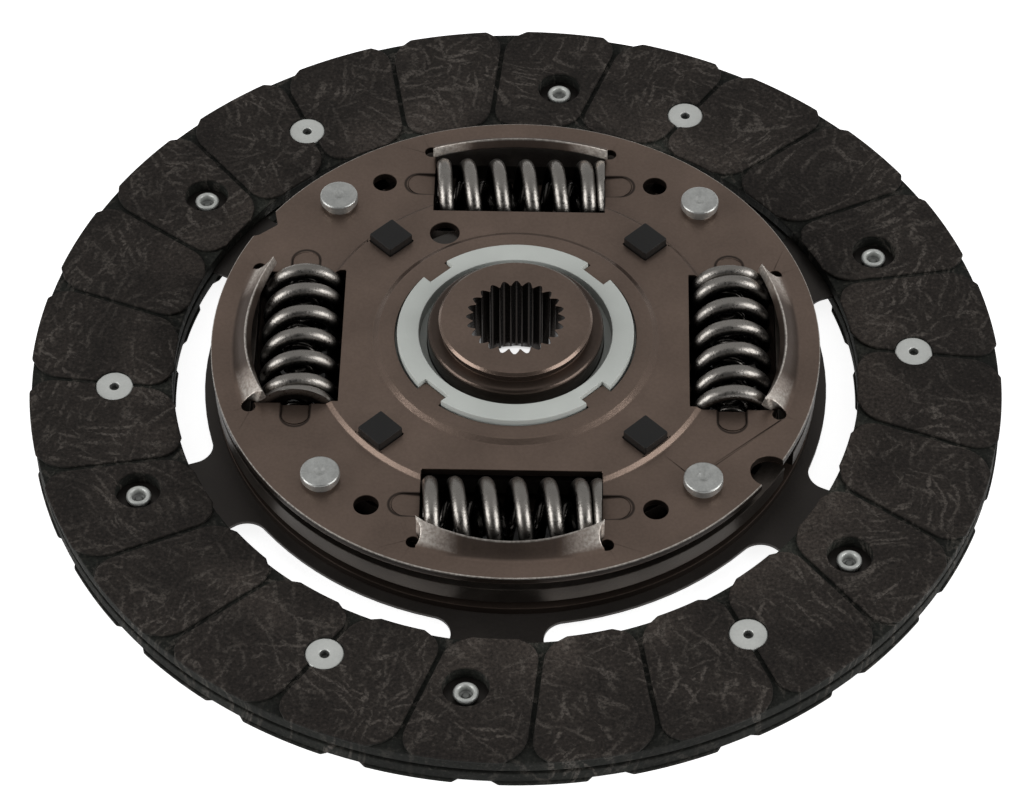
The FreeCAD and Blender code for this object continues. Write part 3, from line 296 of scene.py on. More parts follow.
def lining_material(colours):
    """Wound yarn lining, hot pressed and ground: matt and near black, with the ends
    of short curved yarns that show lighter and glint a little more than the resin."""
    material, tree, place = new_material("pressed_friction_lining")
    flat = vector(tree, "MULTIPLY", place, (1, 1, 0))
    # Yarns wander, and their edges fray by about 0.5 mm.
    moved = strayed(tree, flat, place, 18, 1.0, 14)
    moved = strayed(tree, moved, flat, 1.1, 2.0, 1.4)
    # Resin covers the yarn in patches of about 15 mm.
    patch = noise(tree, place, 13, 2.0)
    bare = ramp(tree, patch, 0.35, 0.62, 0.12, 1.0)
    streaks = maths(tree, "MULTIPLY", yarn_strokes(tree, moved), bare)
    # Grit of 0.2 to 0.5 mm, drawn a little coarser than real so that it shows, breaks them up.
    grit = noise(tree, place, 0.7, 3.0, roughness=0.7)
    speck = ramp(tree, grit, 0.60, 0.75, 0.0, 0.5)
    streaks = maths(tree, "MULTIPLY", streaks, ramp(tree, grit, 0.38, 0.6, 0.25, 1.25))
    visible = maths(tree, "MAXIMUM", streaks, speck)
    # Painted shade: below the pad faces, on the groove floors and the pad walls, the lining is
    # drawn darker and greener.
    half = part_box("facing_upper")[1].z / 2
    depth = maths(tree, "ABSOLUTE", maths(tree, "SUBTRACT", apart(tree, place)[2], half))
    face = ramp(tree, depth, half - 0.6 * MM, half - 0.1 * MM, 0.0, 1.0)
    tone = blend(tree, face, colours.lining_groove_shade, colours.lining)
    cloud = ramp(tree, patch, 0.3, 0.7, 0.75, 1.35)
    spots = ramp(tree, grit, 0.3, 0.7, 0.4, 1.65)
    # Pads are rubbed paler in places near the bore.
    near = ramp(tree, vector(tree, "LENGTH", flat), 70 * MM, 86 * MM, 1.0, 0.0)
    some = ramp(tree, noise(tree, place, 22, 1.0), 0.48, 0.62, 0.0, 1.6)
    worn = maths(tree, "MULTIPLY_ADD", near, some, 1.0)
    shade = maths(tree, "MULTIPLY", maths(tree, "MULTIPLY", cloud, spots), worn)
    base = blend(tree, maths(tree, "MULTIPLY", visible, 0.42), scaled(tree, tone, shade), colours.yarn)
    height = maths(tree, "MULTIPLY_ADD", grit, 0.5, streaks)
    finish_material(tree, base, ramp(tree, visible, 0.0, 1.0, 0.85, 0.6), height, 0.12,
                    IOR=1.5, Specular_IOR_Level=0.2)
    return material


def phosphate_material(sizes, colours):
    """Pressed steel with a brown zinc phosphate and oil: satin and metallic, clouded,
    with a fine crystal grain, with painted shade in the bore, low down, on steep faces and
    round the tongues, and with painted highlights on the lips, whose crests are also rubbed,
    and on the rim."""
    material, tree, place = new_material("brown_phosphated_steel")

    def band(value, low, high, first, last):
        """Number that runs from first to last between two lengths in millimetres."""
        return ramp(tree, value, low * MM, high * MM, first, last)

    def slope(low, high, steep):
        """Number that has one value where the surface stands steep, and is 1 where it lies level."""
        return ramp(tree, upright, low, high, steep, 1.0)

    def largest(*parts):
        """Largest of some numbers."""
        most = parts[0]
        for part in parts[1:]:
            most = maths(tree, "MAXIMUM", most, part)
        return most

    def least(*parts):
        """Smallest of some numbers."""
        fewest = parts[0]
        for part in parts[1:]:
            fewest = maths(tree, "MINIMUM", fewest, part)
        return fewest

    # Radii and heights of the CAD model, in millimetres.
    bore, collar, end_radius, step_foot, step_head = sizes.valley_circle / MM, 18.0, 15.5, 42.4, 45.2
    lips, lip_end, rim = sizes.lip_circle / MM, sizes.lip_width / MM, 62.05
    end_face, drive_side, cover_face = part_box("hub")[1].z / MM, 7.5, 16.3

    cloud = noise(tree, place, 16, 4.0)
    grain = noise(tree, place, 0.6, 3.0)
    fine = ramp(tree, grain, 0.3, 0.7, 0.93, 1.07)
    shade = maths(tree, "MULTIPLY", ramp(tree, cloud, 0.3, 0.7, 0.86, 1.14), fine)
    radius = vector(tree, "LENGTH", vector(tree, "MULTIPLY", place, (1, 1, 0)))
    east, north, height = apart(tree, place)
    east, north = maths(tree, "ABSOLUTE", east), maths(tree, "ABSOLUTE", north)
    out, along = largest(east, north), least(east, north)
    normal = apart(tree, add(tree, "ShaderNodeNewGeometry").outputs["True Normal"])
    upright = maths(tree, "ABSOLUTE", normal[2])

    # Painted shade: the bore, the hub's side and shoulder, the drive plate below the cover,
    # the slope of the cover's step and steep faces such as cut edges are drawn darker.
    bore_shade = largest(band(radius, bore + 0.1, bore + 0.4, 0.08, 1.0),
                      least(slope(0.7, 0.9, 0.0), band(height, end_face - 0.3, end_face - 0.1, 0.0, 1.0)))
    # Painted shade on the hub's side and shoulder.
    side = largest(band(height, end_face - 2.45, end_face - 1.6, 0.4, 1.0),
                   band(radius, collar - 0.1, collar + 0.6, 0.0, 1.0),
                   band(radius, end_radius, end_radius - 0.2, 0.0, 1.0))
    # Painted shade on the drive plate and the hub below the cover.
    low = band(height, drive_side - 1.3, drive_side, 0.45, 1.0)
    # Painted shade on the sloped faces of the cover's step.
    step = largest(slope(0.93, 0.98, 0.5), band(radius, step_foot, step_foot - 0.2, 0.0, 1.0),
                   band(radius, step_head, step_head + 0.2, 0.0, 1.0))
    # Painted shade: a dark line is drawn round the pressed tongues at the ends of the windows,
    # along their crease.
    past = largest(maths(tree, "SUBTRACT", along, sizes.tongue_end), 0.0)
    across = maths(tree, "SUBTRACT", out, sizes.spring_place)
    reach = vector(tree, "LENGTH", together(tree, x=across, y=past))
    off = maths(tree, "ABSOLUTE", maths(tree, "SUBTRACT", reach, sizes.tongue_width))
    line = largest(band(off, 0.15, 0.4, 0.25, 1.0), band(height, 15.0, 15.2, 1.0, 0.0))
    # Painted shade: the middles of the lips are drawn darker than their ends.
    lip_middle_shade = largest(band(along, 9.0, 14.0, 0.4, 1.0), band(height, cover_face, cover_face + 0.5, 1.0, 0.0),
                   band(radius, lips, lips + 1.0, 1.0, 0.0))
    # All the painted shade together, with steep faces drawn darkest.
    painted_shade = least(bore_shade, side, slope(0.15, 0.4, 0.22), low, step, line, lip_middle_shade)
    tone = scaled(tree, scaled(tree, colours.phosphate, shade), painted_shade)

    # The lip crests are drawn pale, partly as steel rubbed by the springs and partly as painted
    # highlight; the lip ends get a painted highlight.
    bent = maths(tree, "MULTIPLY", along, along)
    crest = maths(tree, "MULTIPLY_ADD", bent, -sizes.lip_lift / sizes.lip_width ** 2, height)
    ends = least(band(along, 10.0, lip_end, 0.0, 1.0),
                 band(height, cover_face + 0.3, cover_face + 1.3, 0.0, 1.0))
    lip_wear_and_highlight = least(largest(band(crest, 18.75, 19.1, 0.0, 1.0), ends),
                      band(radius, lips, lips + 1.0, 0.0, 1.0))
    # Painted highlight along the top edge of the cover's rim.
    rim_highlight = least(band(radius, rim, rim + 0.15, 0.0, 1.0),
                     band(height, cover_face - 0.5, cover_face - 0.2, 0.0, 1.0))
    dust = ramp(tree, grain, 0.35, 0.65, 0.45, 1.0)
    rubbed_and_highlight = maths(tree, "MULTIPLY", largest(lip_wear_and_highlight, rim_highlight), dust)
    # Bends near the hub are drawn smoother than the flats.
    drawn = largest(slope(0.9, 0.98, 0.6), band(radius, 30.0, 31.0, 0.0, 1.0))
    rough = maths(tree, "MULTIPLY", ramp(tree, cloud, 0.3, 0.7, 0.34, 0.44), drawn)
    finish_material(tree, blend(tree, rubbed_and_highlight, tone, colours.rubbed_and_highlight), rough, grain, 0.02, Metallic=0.8)
    return material


def spring_material(sizes, colours):
    """Shot peened wire: a mid grey with a soft, speckled highlight, and painted shade
    that draws the inside and the lower part of the coils nearly black."""
    material, tree, place = new_material("peened_spring_steel")
    low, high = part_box("outer_spring_right")
    middle = (low.z + high.z) / 2
    mean = sizes.spring_radius - sizes.spring_wire / 2
    east, north, height = apart(tree, place)
    # Each spring lies across the disc's radius.
    out = maths(tree, "MAXIMUM", maths(tree, "ABSOLUTE", east), maths(tree, "ABSOLUTE", north))
    arm = vector(tree, "SUBTRACT", together(tree, x=out, z=height), (sizes.spring_place, 0, middle))
    # Painted shade: the wire is drawn nearly black inside the coils and below their tops.
    outside = ramp(tree, vector(tree, "LENGTH", arm), mean - 0.4 * MM, mean + 0.8 * MM, 0.04, 1.0)
    above = ramp(tree, height, middle + 2.3 * MM, middle + 4.8 * MM, 0.04, 1.0)
    grain = noise(tree, place, 0.45, 3.0)
    shade = ramp(tree, noise(tree, place, 5, 3.0), 0.3, 0.7, 0.9, 1.1)
    painted_shade_and_cloud = maths(tree, "MULTIPLY", maths(tree, "MULTIPLY", outside, above), shade)
    finish_material(tree, scaled(tree, colours.spring, painted_shade_and_cloud), ramp(tree, grain, 0.3, 0.7, 0.24, 0.42),
                    grain, 0.05, Metallic=1.0)
    return material


def metal_material(name, base_colour, cloud_size, grain_size, roughness, depth, metallic=1.0, spread=0.12):
    """Metal surface with clouds and grain of given sizes in millimetres."""
    material, tree, place = new_material(name)
    grain = noise(tree, place, grain_size, 3.0)
    mixed = add(tree, "ShaderNodeMix", {0: 0.4, 2: noise(tree, place, cloud_size, 3.0), 3: grain}).outputs[0]
    # Painted shade in the rivet hollows, where their mesh is marked.
    painted_hollow_shade = add(tree, "ShaderNodeAttribute", attribute_name="painted_hollow_shade").outputs["Fac"]
    shade = maths(tree, "MULTIPLY", ramp(tree, mixed, 0.3, 0.7, 1 - spread, 1 + spread),
                  ramp(tree, painted_hollow_shade, 0.0, 1.0, 1.0, 0.3))
    rough = ramp(tree, mixed, 0.3, 0.7, roughness - 0.07, roughness + 0.07)
    finish_material(tree, scaled(tree, base_colour, shade), rough, grain, depth, Metallic=metallic)
    return material


def plastic_material(name, base_colour, roughness, spread):
    """Moulded plastic: even, with faint flow clouds and a fine mould texture."""
    material, tree, place = new_material(name)
    grain = noise(tree, place, 0.5, 2.0)
    shade = ramp(tree, noise(tree, place, 9, 3.0), 0.3, 0.7, 1 - spread, 1 + spread)
    rough = ramp(tree, grain, 0.3, 0.7, roughness - 0.06, roughness + 0.06)
    finish_material(tree, scaled(tree, base_colour, shade), rough, grain, 0.02,
                    IOR=1.53, Specular_IOR_Level=0.35)
    return material


def make_materials(sizes, colours):
    """All finishes, by the name of the record's slot."""
    return {
        "friction_lining": lining_material(colours),
        "brown_steel": phosphate_material(sizes, colours),
        # Blackened strip: smooth, nearly black, with a low sheen.
        "black_steel": metal_material("blackened_spring_steel", colours.black_steel, 14, 0.6, 0.42,
                                      0.02, 0.7),
        # Blanked plate: its thick edge shows bare, torn steel.
        "flange_steel": metal_material("sheared_flange_steel", colours.sheared, 5, 0.5, 0.38, 0.03, 0.9, 0.2),
        # Zinc plating: pale, fairly bright and soft in its reflections.
        "rivet_zinc": metal_material("zinc_plated_steel", colours.zinc, 4, 0.5, 0.42, 0.02, 0.4, 0.08),
        # Upset rivet heads: the plating is bruised by the tool, so it is greyer and uneven.
        "upset_zinc": metal_material("bruised_zinc_plating", colours.bruised_zinc, 2.5, 0.4, 0.34, 0.05,
                                     0.75, 0.22),
        "spring_steel": spring_material(sizes, colours),
        # A darker copy of the spring steel, for the inner springs and the waved washer: painted
        # shade for where they lie inside the coils and under the plates.
        "dark_spring_steel": metal_material("oiled_spring_steel", colours.dark_spring, 6, 0.4, 0.26, 0.03),
        # Natural nylon with glass fibre: pale, slightly grey green, silky.
        "pale_plastic": plastic_material("moulded_pale_nylon", colours.pale_nylon, 0.45, 0.05),
        # Black nylon with a matt mould face.
        "black_plastic": plastic_material("moulded_black_nylon", colours.black_nylon, 0.5, 0.2),
    }


def material(slot_name):
    """Finish for a slot, made once."""
    scene = bpy.context.scene
    if scene.get("disc_materials") is None:
        made = make_materials(scene.clutch_disc.sizes, scene.clutch_disc.colours)
        scene["disc_materials"] = {key: item.name for key, item in made.items()}
    return bpy.data.materials[scene["disc_materials"][slot_name]]


def new_object(name, form):
    """Object from a bmesh, at the origin."""
    mesh = bpy.data.meshes.new(name)
    form.to_mesh(mesh)
    form.free()
    piece = bpy.data.objects.new(name, mesh)
    bpy.context.scene.collection.objects.link(piece)
    return piece


def bake(piece):
    """Turn an object's modifiers into a plain mesh."""
    graph = bpy.context.evaluated_depsgraph_get()
    graph.update()
    mesh = bpy.data.meshes.new_from_object(piece.evaluated_get(graph))
    piece.modifiers.clear()
    old = piece.data
    piece.data = mesh
    bpy.data.meshes.remove(old)
    mesh.name = piece.name


def flat_regions(form):
    """Area of the flat region that each face belongs to."""
    level = math.cos(math.radians(0.5))
    area = {}
    for face in form.faces:
        if face in area:
            continue
        area[face] = 0.0
        region = [face]
        for member in region:
            for edge in member.edges:
                for other in edge.link_faces:
                    if other not in area and other.normal.dot(face.normal) > level:
                        area[other] = 0.0
                        region.append(other)
        total = sum(member.calc_area() for member in region)
        for member in region:
            area[member] = total
    return area


def smooth_corners(piece):
    """Smooth a mesh where faces meet below 38 degrees, with normals in which large flat
    faces count most, so that flat faces stay flat beside rounded edges."""
    form = bmesh.new()
    form.from_mesh(piece.data)
    form.faces.ensure_lookup_table()
    area = flat_regions(form)
    limit = math.cos(math.radians(38))
    normals = []
    for face in form.faces:
        aim = face.normal
        longest = max(edge.calc_length() for edge in face.edges)
        if face.calc_area() < 0.01 * MM * longest:
            # A sliver has no reliable direction of its own and takes its neighbour's.
            beside = [other for edge in face.edges for other in edge.link_faces if other is not face]
            aim = max(beside, key=area.get).normal if beside else aim
        for loop in face.loops:
            total = Vector()
            for other in loop.vert.link_faces:
                if other.normal.dot(aim) > limit:
                    total += other.normal * area[other]
            normals.append(total.normalized() if total.length else aim.copy())
    form.free()
    piece.data.shade_smooth()
    piece.data.normals_split_custom_set(normals)


def round_edges(piece, width):
    """Round the edges that are sharper than 30 degrees."""
    edge = piece.modifiers.new("Edges", "BEVEL")
    edge.width = width
    edge.segments = 2
    edge.limit_method = "ANGLE"
    edge.angle_limit = math.radians(30)
    edge.use_clamp_overlap = False
    bake(piece)


def hand_over(piece, body, slot_name, *nodes, finish=None):
    """Give a piece its finish, its body and the CAD nodes that it stands for."""
    piece.data.materials.clear()
    piece.data.materials.append(material(finish or slot_name))
    for face in piece.data.polygons:
        face.material_index = 0
    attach(piece, body)
    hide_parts(*nodes)


def dress(name, node, body, slot_name, edge, finish=None, before=None, after=None):
    """Copy of a CAD node with its triangles joined and its edges rounded, and with its
    form changed by a function before or after its edges are rounded."""
    form = bmesh.new()
    form.from_mesh(NODES[node].data)
    bmesh.ops.remove_doubles(form, verts=form.verts, dist=0.002 * MM)
    if before:
        before(form)
    bmesh.ops.dissolve_limit(form, angle_limit=math.radians(0.6), verts=form.verts, edges=form.edges)
    bmesh.ops.triangulate(form, faces=form.faces, ngon_method="BEAUTY")
    piece = new_object(name, form)
    round_edges(piece, edge * MM)
    if after:
        form = bmesh.new()
        form.from_mesh(piece.data)
        after(form)
        form.to_mesh(piece.data)
        form.free()
    smooth_corners(piece)
    hand_over(piece, body, slot_name, node, finish=finish)


def lathe(profile, segments):
    """Turned form from a line of radius and height pairs in millimetres that starts
    and ends on the axis."""
    form = bmesh.new()
    rings = []
    for radius, height in profile:
        count = segments if radius else 1
        angles = [2 * math.pi * step / segments for step in range(count)]
        reach = radius * MM
        rings.append([form.verts.new((reach * math.cos(angle), reach * math.sin(angle), height * MM))
                      for angle in angles])
    for first, second in zip(rings, rings[1:]):
        for step in range(segments):
            after = (step + 1) % segments
            corners = [first[step % len(first)], first[after % len(first)],
                       second[after % len(second)], second[step % len(second)]]
            form.faces.new([v for i, v in enumerate(corners) if v not in corners[:i]])
    bmesh.ops.recalc_face_normals(form, faces=form.faces)
    return form


def rounded(centre_radius, centre_height, size, start, end, steps=4):
    """Points of a rounded corner, from one angle to another in degrees."""
    angles = [math.radians(start + (end - start) * step / steps) for step in range(steps + 1)]
    return [(centre_radius + size * math.cos(a), centre_height + size * math.sin(a)) for a in angles]


def new_tree(name, inputs):
    """Geometry node tree with named inputs, and its input sockets."""
    tree = bpy.data.node_groups.new(name, "GeometryNodeTree")
    tree.interface.new_socket("Geometry", in_out="INPUT", socket_type="NodeSocketGeometry")
    tree.interface.new_socket("Geometry", in_out="OUTPUT", socket_type="NodeSocketGeometry")
    for label, kind in inputs:
        tree.interface.new_socket(label, in_out="INPUT", socket_type="NodeSocket" + kind)
    return tree, add(tree, "NodeGroupInput").outputs


def run_tree(piece, tree, values):
    """Put a tree on a piece with its inputs set, and make the result plain."""
    modifier = piece.modifiers.new(tree.name, "NODES")
    modifier.node_group = tree
    for item in tree.interface.items_tree:
        if item.item_type == "SOCKET" and item.in_out == "INPUT" and item.name in values:
            modifier[item.identifier] = values[item.name]
    bake(piece)


def end_tree(tree, geometry, finish):
    """Nodes that give a geometry its finish and send it out of the tree."""
    finished = add(tree, "GeometryNodeSetMaterial", {"Geometry": geometry, "Material": finish})
    add(tree, "NodeGroupOutput", {0: finished.outputs[0]})


def placed(tree, geometry, x=0.0, z=0.0, turned=0.0):
    """Geometry turned about Z and moved along X and Z."""
    return add(tree, "GeometryNodeTransform", {
        "Geometry": geometry, "Translation": together(tree, x=x, z=z),
        "Rotation": together(tree, z=turned)}).outputs[0]


def joined(tree, first, second):
    """Two geometries in one."""
    item = add(tree, "GeometryNodeJoinGeometry", {0: first})
    tree.links.new(second, item.inputs[0])
    return item.outputs[0]


def repeat_round(tree, geometry, count, start):
    """Nodes that repeat a geometry evenly about the disc's axis."""
    points = add(tree, "GeometryNodePoints", {"Count": count})
    step = maths(tree, "DIVIDE", 2 * math.pi, count)
    angle = maths(tree, "MULTIPLY_ADD", add(tree, "GeometryNodeInputIndex").outputs[0], step, start)
    copies = add(tree, "GeometryNodeInstanceOnPoints", {
        "Points": points.outputs[0], "Instance": geometry, "Rotation": together(tree, z=angle)})
    return add(tree, "GeometryNodeRealizeInstances", {0: copies.outputs[0]}).outputs[0]


def rivet_tree():
    """Tree that repeats one rivet about the disc's axis."""
    tree, given = new_tree("rivet_circle", (("Count", "Int"), ("Start", "Float"), ("Circle", "Float"),
                                            ("Finish", "Material")))
    moved = placed(tree, given["Geometry"], x=given["Circle"])
    end_tree(tree, repeat_round(tree, moved, given["Count"], given["Start"]), given["Finish"])
    return tree


def lining_tree():
    """Tree that makes a friction ring from the outline of one pad."""
    tree, given = new_tree("friction_ring", (
        ("Pads", "Int"), ("Backing", "Float"), ("Thickness", "Float"), ("Rim", "Float"), ("Bore", "Float"),
        ("Rivet Circle", "Float"), ("Rivets", "Int"), ("Head Angle", "Float"), ("Access Angle", "Float"),
        ("Head Hole", "Float"), ("Shank Hole", "Float"), ("Access Hole", "Float"), ("Web", "Float"),
        ("Finish", "Material")))
    # Pads stand a little way into the backing, so that no gap opens between them.
    embed, drill_length, round_steps, hole_steps = 0.1 * MM, 20 * MM, 192, 40
    tall = maths(tree, "ADD", maths(tree, "SUBTRACT", given["Thickness"], given["Backing"]), embed)
    top = add(tree, "GeometryNodeExtrudeMesh", {"Mesh": given["Geometry"], "Offset Scale": tall,
                                                "Individual": False}).outputs[0]
    bottom = add(tree, "GeometryNodeFlipFaces", {0: given["Geometry"]}).outputs[0]
    closed = add(tree, "GeometryNodeMergeByDistance", {"Geometry": joined(tree, top, bottom),
                                                       "Distance": 0.001 * MM}).outputs[0]
    raised = placed(tree, closed, z=maths(tree, "SUBTRACT", given["Backing"], embed))
    pads = repeat_round(tree, raised, given["Pads"], 0.0)

    def cylinder(radius, depth, steps):
        return add(tree, "GeometryNodeMeshCylinder", {"Vertices": steps, "Radius": radius,
                                                      "Depth": depth}).outputs[0]

    drills = []
    for radius, start, floor in (("Head Hole", "Head Angle", given["Web"]),
                                 ("Shank Hole", "Head Angle", -5 * MM),
                                 ("Access Hole", "Access Angle", -5 * MM)):
        lifted = maths(tree, "ADD", floor, drill_length / 2)
        drill = cylinder(given[radius], drill_length, hole_steps)
        put = placed(tree, drill, x=given["Rivet Circle"], z=lifted)
        drills.append(repeat_round(tree, put, given["Rivets"], given[start]))
    backing = placed(tree, cylinder(given["Rim"], given["Backing"], round_steps),
                     z=maths(tree, "MULTIPLY", given["Backing"], 0.5))
    centre = cylinder(given["Bore"], drill_length, round_steps)
    results = []
    for body, holes in ((pads, drills), (backing, drills + [centre])):
        cut = add(tree, "GeometryNodeMeshBoolean", {"Mesh 1": body}, operation="DIFFERENCE", solver="EXACT")
        for hole in holes:
            tree.links.new(hole, cut.inputs["Mesh 2"])
        results.append(cut.outputs[0])
    end_tree(tree, joined(tree, *results), given["Finish"])
    return tree


def spring_tree():
    """Tree that winds a spring with closed, ground ends and puts it in its window."""
    tree, given = new_tree("wound_spring", (
        ("Turns", "Float"), ("Radius", "Float"), ("Wire", "Float"), ("Length", "Float"), ("Hand", "Float"),
        ("First Closed", "Float"), ("Last Closed", "Float"), ("Place", "Float"), ("Height", "Float"),
        ("Turned", "Float"), ("Side", "Float"), ("Steps", "Int"), ("Sides", "Int"), ("Finish", "Material")))
    turns, wire, first = given["Turns"], given["Wire"], given["First Closed"]
    points = add(tree, "GeometryNodeResampleCurve", {
        "Curve": add(tree, "GeometryNodeCurvePrimitiveLine").outputs[0], "Count": given["Steps"]})
    factor = add(tree, "GeometryNodeSplineParameter").outputs["Factor"]
    turn_number = maths(tree, "MULTIPLY", factor, turns)
    swing = maths(tree, "MULTIPLY", given["Hand"], 2 * math.pi)
    # A left-hand spring begins where the photograph shows its first end.
    opposite = maths(tree, "LESS_THAN", given["Hand"], 0.0)
    begin = maths(tree, "MULTIPLY", opposite, math.radians(151))
    angle = maths(tree, "MULTIPLY_ADD", turn_number, swing, begin)
    mean = maths(tree, "MULTIPLY_ADD", wire, -0.5, given["Radius"])
    x, z = (maths(tree, "MULTIPLY", maths(tree, rule, angle), mean) for rule in ("COSINE", "SINE"))
    # The turns at both ends lie closed, and the rest share what is left.
    total = maths(tree, "MULTIPLY_ADD", wire, 0.12, given["Length"])
    begun = maths(tree, "MULTIPLY", wire, first)
    end = maths(tree, "MULTIPLY", wire, given["Last Closed"])
    free = maths(tree, "SUBTRACT", total, maths(tree, "ADD", begun, end))
    last = maths(tree, "SUBTRACT", turns, given["Last Closed"])
    parts = [ramp(tree, turn_number, *part) for part in (
        (0.0, first, 0.0, begun), (first, last, 0.0, free), (last, turns, 0.0, end))]
    run = maths(tree, "ADD", maths(tree, "ADD", parts[0], parts[1]), parts[2])
    y = maths(tree, "MULTIPLY_ADD", total, -0.5, run)
    wound = add(tree, "GeometryNodeSetPosition", {"Geometry": points.outputs[0],
                                                  "Position": together(tree, x=x, y=y, z=z)})
    section = add(tree, "GeometryNodeCurvePrimitiveCircle", {"Resolution": given["Sides"],
                                                             "Radius": maths(tree, "MULTIPLY", wire, 0.5)})
    coil = add(tree, "GeometryNodeCurveToMesh", {
        "Curve": wound.outputs[0], "Profile Curve": section.outputs[0], "Fill Caps": True})
    # The end turns are ground flat to the spring's length.
    x, y, z = apart(tree, add(tree, "GeometryNodeInputPosition").outputs[0])
    low, high = (maths(tree, "MULTIPLY", given["Length"], half) for half in (-0.5, 0.5))
    held = add(tree, "ShaderNodeClamp", {0: y, 1: low, 2: high}).outputs[0]
    ground = add(tree, "GeometryNodeSetPosition", {"Geometry": coil.outputs[0],
                                                   "Position": together(tree, x=x, y=held, z=z)})
    smooth = add(tree, "GeometryNodeSetShadeSmooth", {"Geometry": ground.outputs[0], "Shade Smooth": True})
    put = placed(tree, smooth.outputs[0], x=given["Place"], z=given["Height"], turned=given["Turned"])
    end_tree(tree, placed(tree, put, turned=given["Side"]), given["Finish"])
    return tree


def pad_outline(sizes, rim, bore):
    """Outline of the pad between the first two grooves, at height 0."""
    half = sizes.groove_width / 2
    slope = sizes.groove_slant / (rim - bore)
    corner_steps, bore_steps, rim_steps = 7, 6, 8

    def at(radius, angle):
        return Vector((radius * math.cos(angle), radius * math.sin(angle), 0))

    def corner(run, flare):
        """Distances from the edge, and how far the pad draws back from its groove there."""
        size = (flare ** 2 + run ** 2) / (2 * flare)
        for step in range(corner_steps + 1):
            inward = run * (step / corner_steps) ** 0.7
            yield inward, size - math.sqrt(size ** 2 - (run - inward) ** 2)

    def side(groove, way):
        """Points of one side of a groove, from rim to bore."""
        start = sizes.groove_angle + groove * 2 * math.pi / sizes.pad_count
        outer = [at(rim - down, start + slope * down + way * (half + back) / (rim - down))
                 for down, back in corner(sizes.rim_run, sizes.rim_flare)]
        inner = [at(bore + up, start + sizes.groove_slant - slope * up + way * (half + back) / (bore + up))
                 for up, back in corner(sizes.bore_run, sizes.bore_flare)]
        return outer + inner[::-1]

    def arc(begin, end, radius, steps):
        a = math.atan2(begin.y, begin.x)
        b = math.atan2(end.y, end.x)
        return [at(radius, a + (b - a) * step / steps) for step in range(1, steps)]

    first = side(0, 1)
    second = side(1, -1)
    points = first + arc(first[-1], second[-1], bore, bore_steps)
    points += second[::-1] + arc(second[0], first[0], rim, rim_steps)
    form = bmesh.new()
    face = form.faces.new([form.verts.new(point) for point in points])
    form.normal_update()
    if face.normal.z < 0:
        face.normal_flip()
    return form


def ring_places(sizes):
    """Where the upper ring's form goes, and where it goes turned over for the lower ring."""
    middle = (sizes.head_angle + sizes.access_angle) / 2
    turned_over = Matrix.Rotation(math.pi, 4, (math.cos(middle), math.sin(middle), 0))
    return {
        "upper": Matrix.Translation((0, 0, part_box("facing_upper")[0].z)),
        "lower": Matrix.Translation((0, 0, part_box("facing_lower")[1].z)) @ turned_over,
    }


class DISC_OT_friction_rings(bpy.types.Operator):
    """Make both friction rings with their pads and rivet holes"""

    bl_idname = "disc.friction_rings"
    bl_label = "Friction rings"

    def execute(self, context):
        sizes = context.scene.clutch_disc.sizes
        low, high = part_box("facing_upper")
        rim = max(high.x, high.y)
        bore = rim - sizes.lining_width
        tree = lining_tree()
        values = {
            "Pads": sizes.pad_count, "Backing": sizes.backing, "Thickness": high.z - low.z,
            "Rim": rim - sizes.backing_setback, "Bore": bore + sizes.backing_setback,
            "Rivet Circle": sizes.rivet_circle, "Rivets": sizes.rivet_count,
            "Head Angle": sizes.head_angle, "Access Angle": sizes.access_angle,
            "Head Hole": sizes.head_hole, "Shank Hole": sizes.shank_hole,
            "Access Hole": sizes.access_hole, "Web": sizes.web, "Finish": material("friction_lining"),
        }
        for level, place in ring_places(sizes).items():
            piece = new_object("friction_ring_" + level, pad_outline(sizes, rim, bore))
            run_tree(piece, tree, values)
            if len(piece.data.polygons) < 500:
                raise RuntimeError("the friction ring came out empty")
            piece.data.transform(place)
            round_edges(piece, sizes.pad_edge)
            smooth_corners(piece)
            hand_over(piece, "plates", "friction_lining", "facing_" + level)
        return {"FINISHED"}


class DISC_OT_lining_rivets(bpy.types.Operator):
    """Make the hollow rivets that hold the friction rings"""

    bl_idname = "disc.lining_rivets"
    bl_label = "Lining rivets"

    def execute(self, context):
        sizes = context.scene.clutch_disc.sizes
        tree = rivet_tree()
        # Heights from the back of the ring in millimetres: dished head on top, rolled tail below.
        low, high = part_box("facing_rivets_upper")
        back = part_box("facing_upper")[0].z
        top, tail, web = (high.z - back) / MM, (low.z - back) / MM, sizes.web / MM
        hole, shank, head = 0.95, 2.0, 3.85
        profile = [(0, top - 1.6), (hole, top - 1.6)]
        profile += rounded(hole + 0.3, top - 0.3, 0.3, 180, 90)
        profile += rounded(head - 0.3, top - 0.3, 0.3, 90, 0)
        profile += rounded(head - 0.15, web + 0.15, 0.15, 0, -90, 2)
        profile += [(shank, web), (shank, -0.8)]
        # The tail is rolled to a ring round a deep hollow with a domed floor.
        profile += rounded(shank, tail + 0.55, 0.55, 30, -200, 8)
        profile += [(1.3, tail + 1.5), (0.9, tail + 1.7), (0.6, tail + 1.3), (0, tail + 1.15)]
        for level, place in ring_places(sizes).items():
            form = lathe(profile, 36)
            # Marks the rivet hollows, where the material paints shade.
            painted_hollow_shade = form.verts.layers.float.new("painted_hollow_shade")
            for vertex in form.verts:
                widest = 1.35 if vertex.co.z < 0 else 1.0
                deep = vertex.co.xy.length < widest * MM and vertex.co.z > (tail + 0.9) * MM
                vertex[painted_hollow_shade] = float(deep)
            piece = new_object("lining_rivets_" + level, form)
            run_tree(piece, tree, {"Count": sizes.rivet_count, "Start": sizes.head_angle,
                                   "Circle": sizes.rivet_circle, "Finish": material("rivet_zinc")})
            piece.data.transform(place)
            smooth_corners(piece)
            hand_over(piece, "plates", "rivet_zinc", "facing_rivets_" + level)
        return {"FINISHED"}


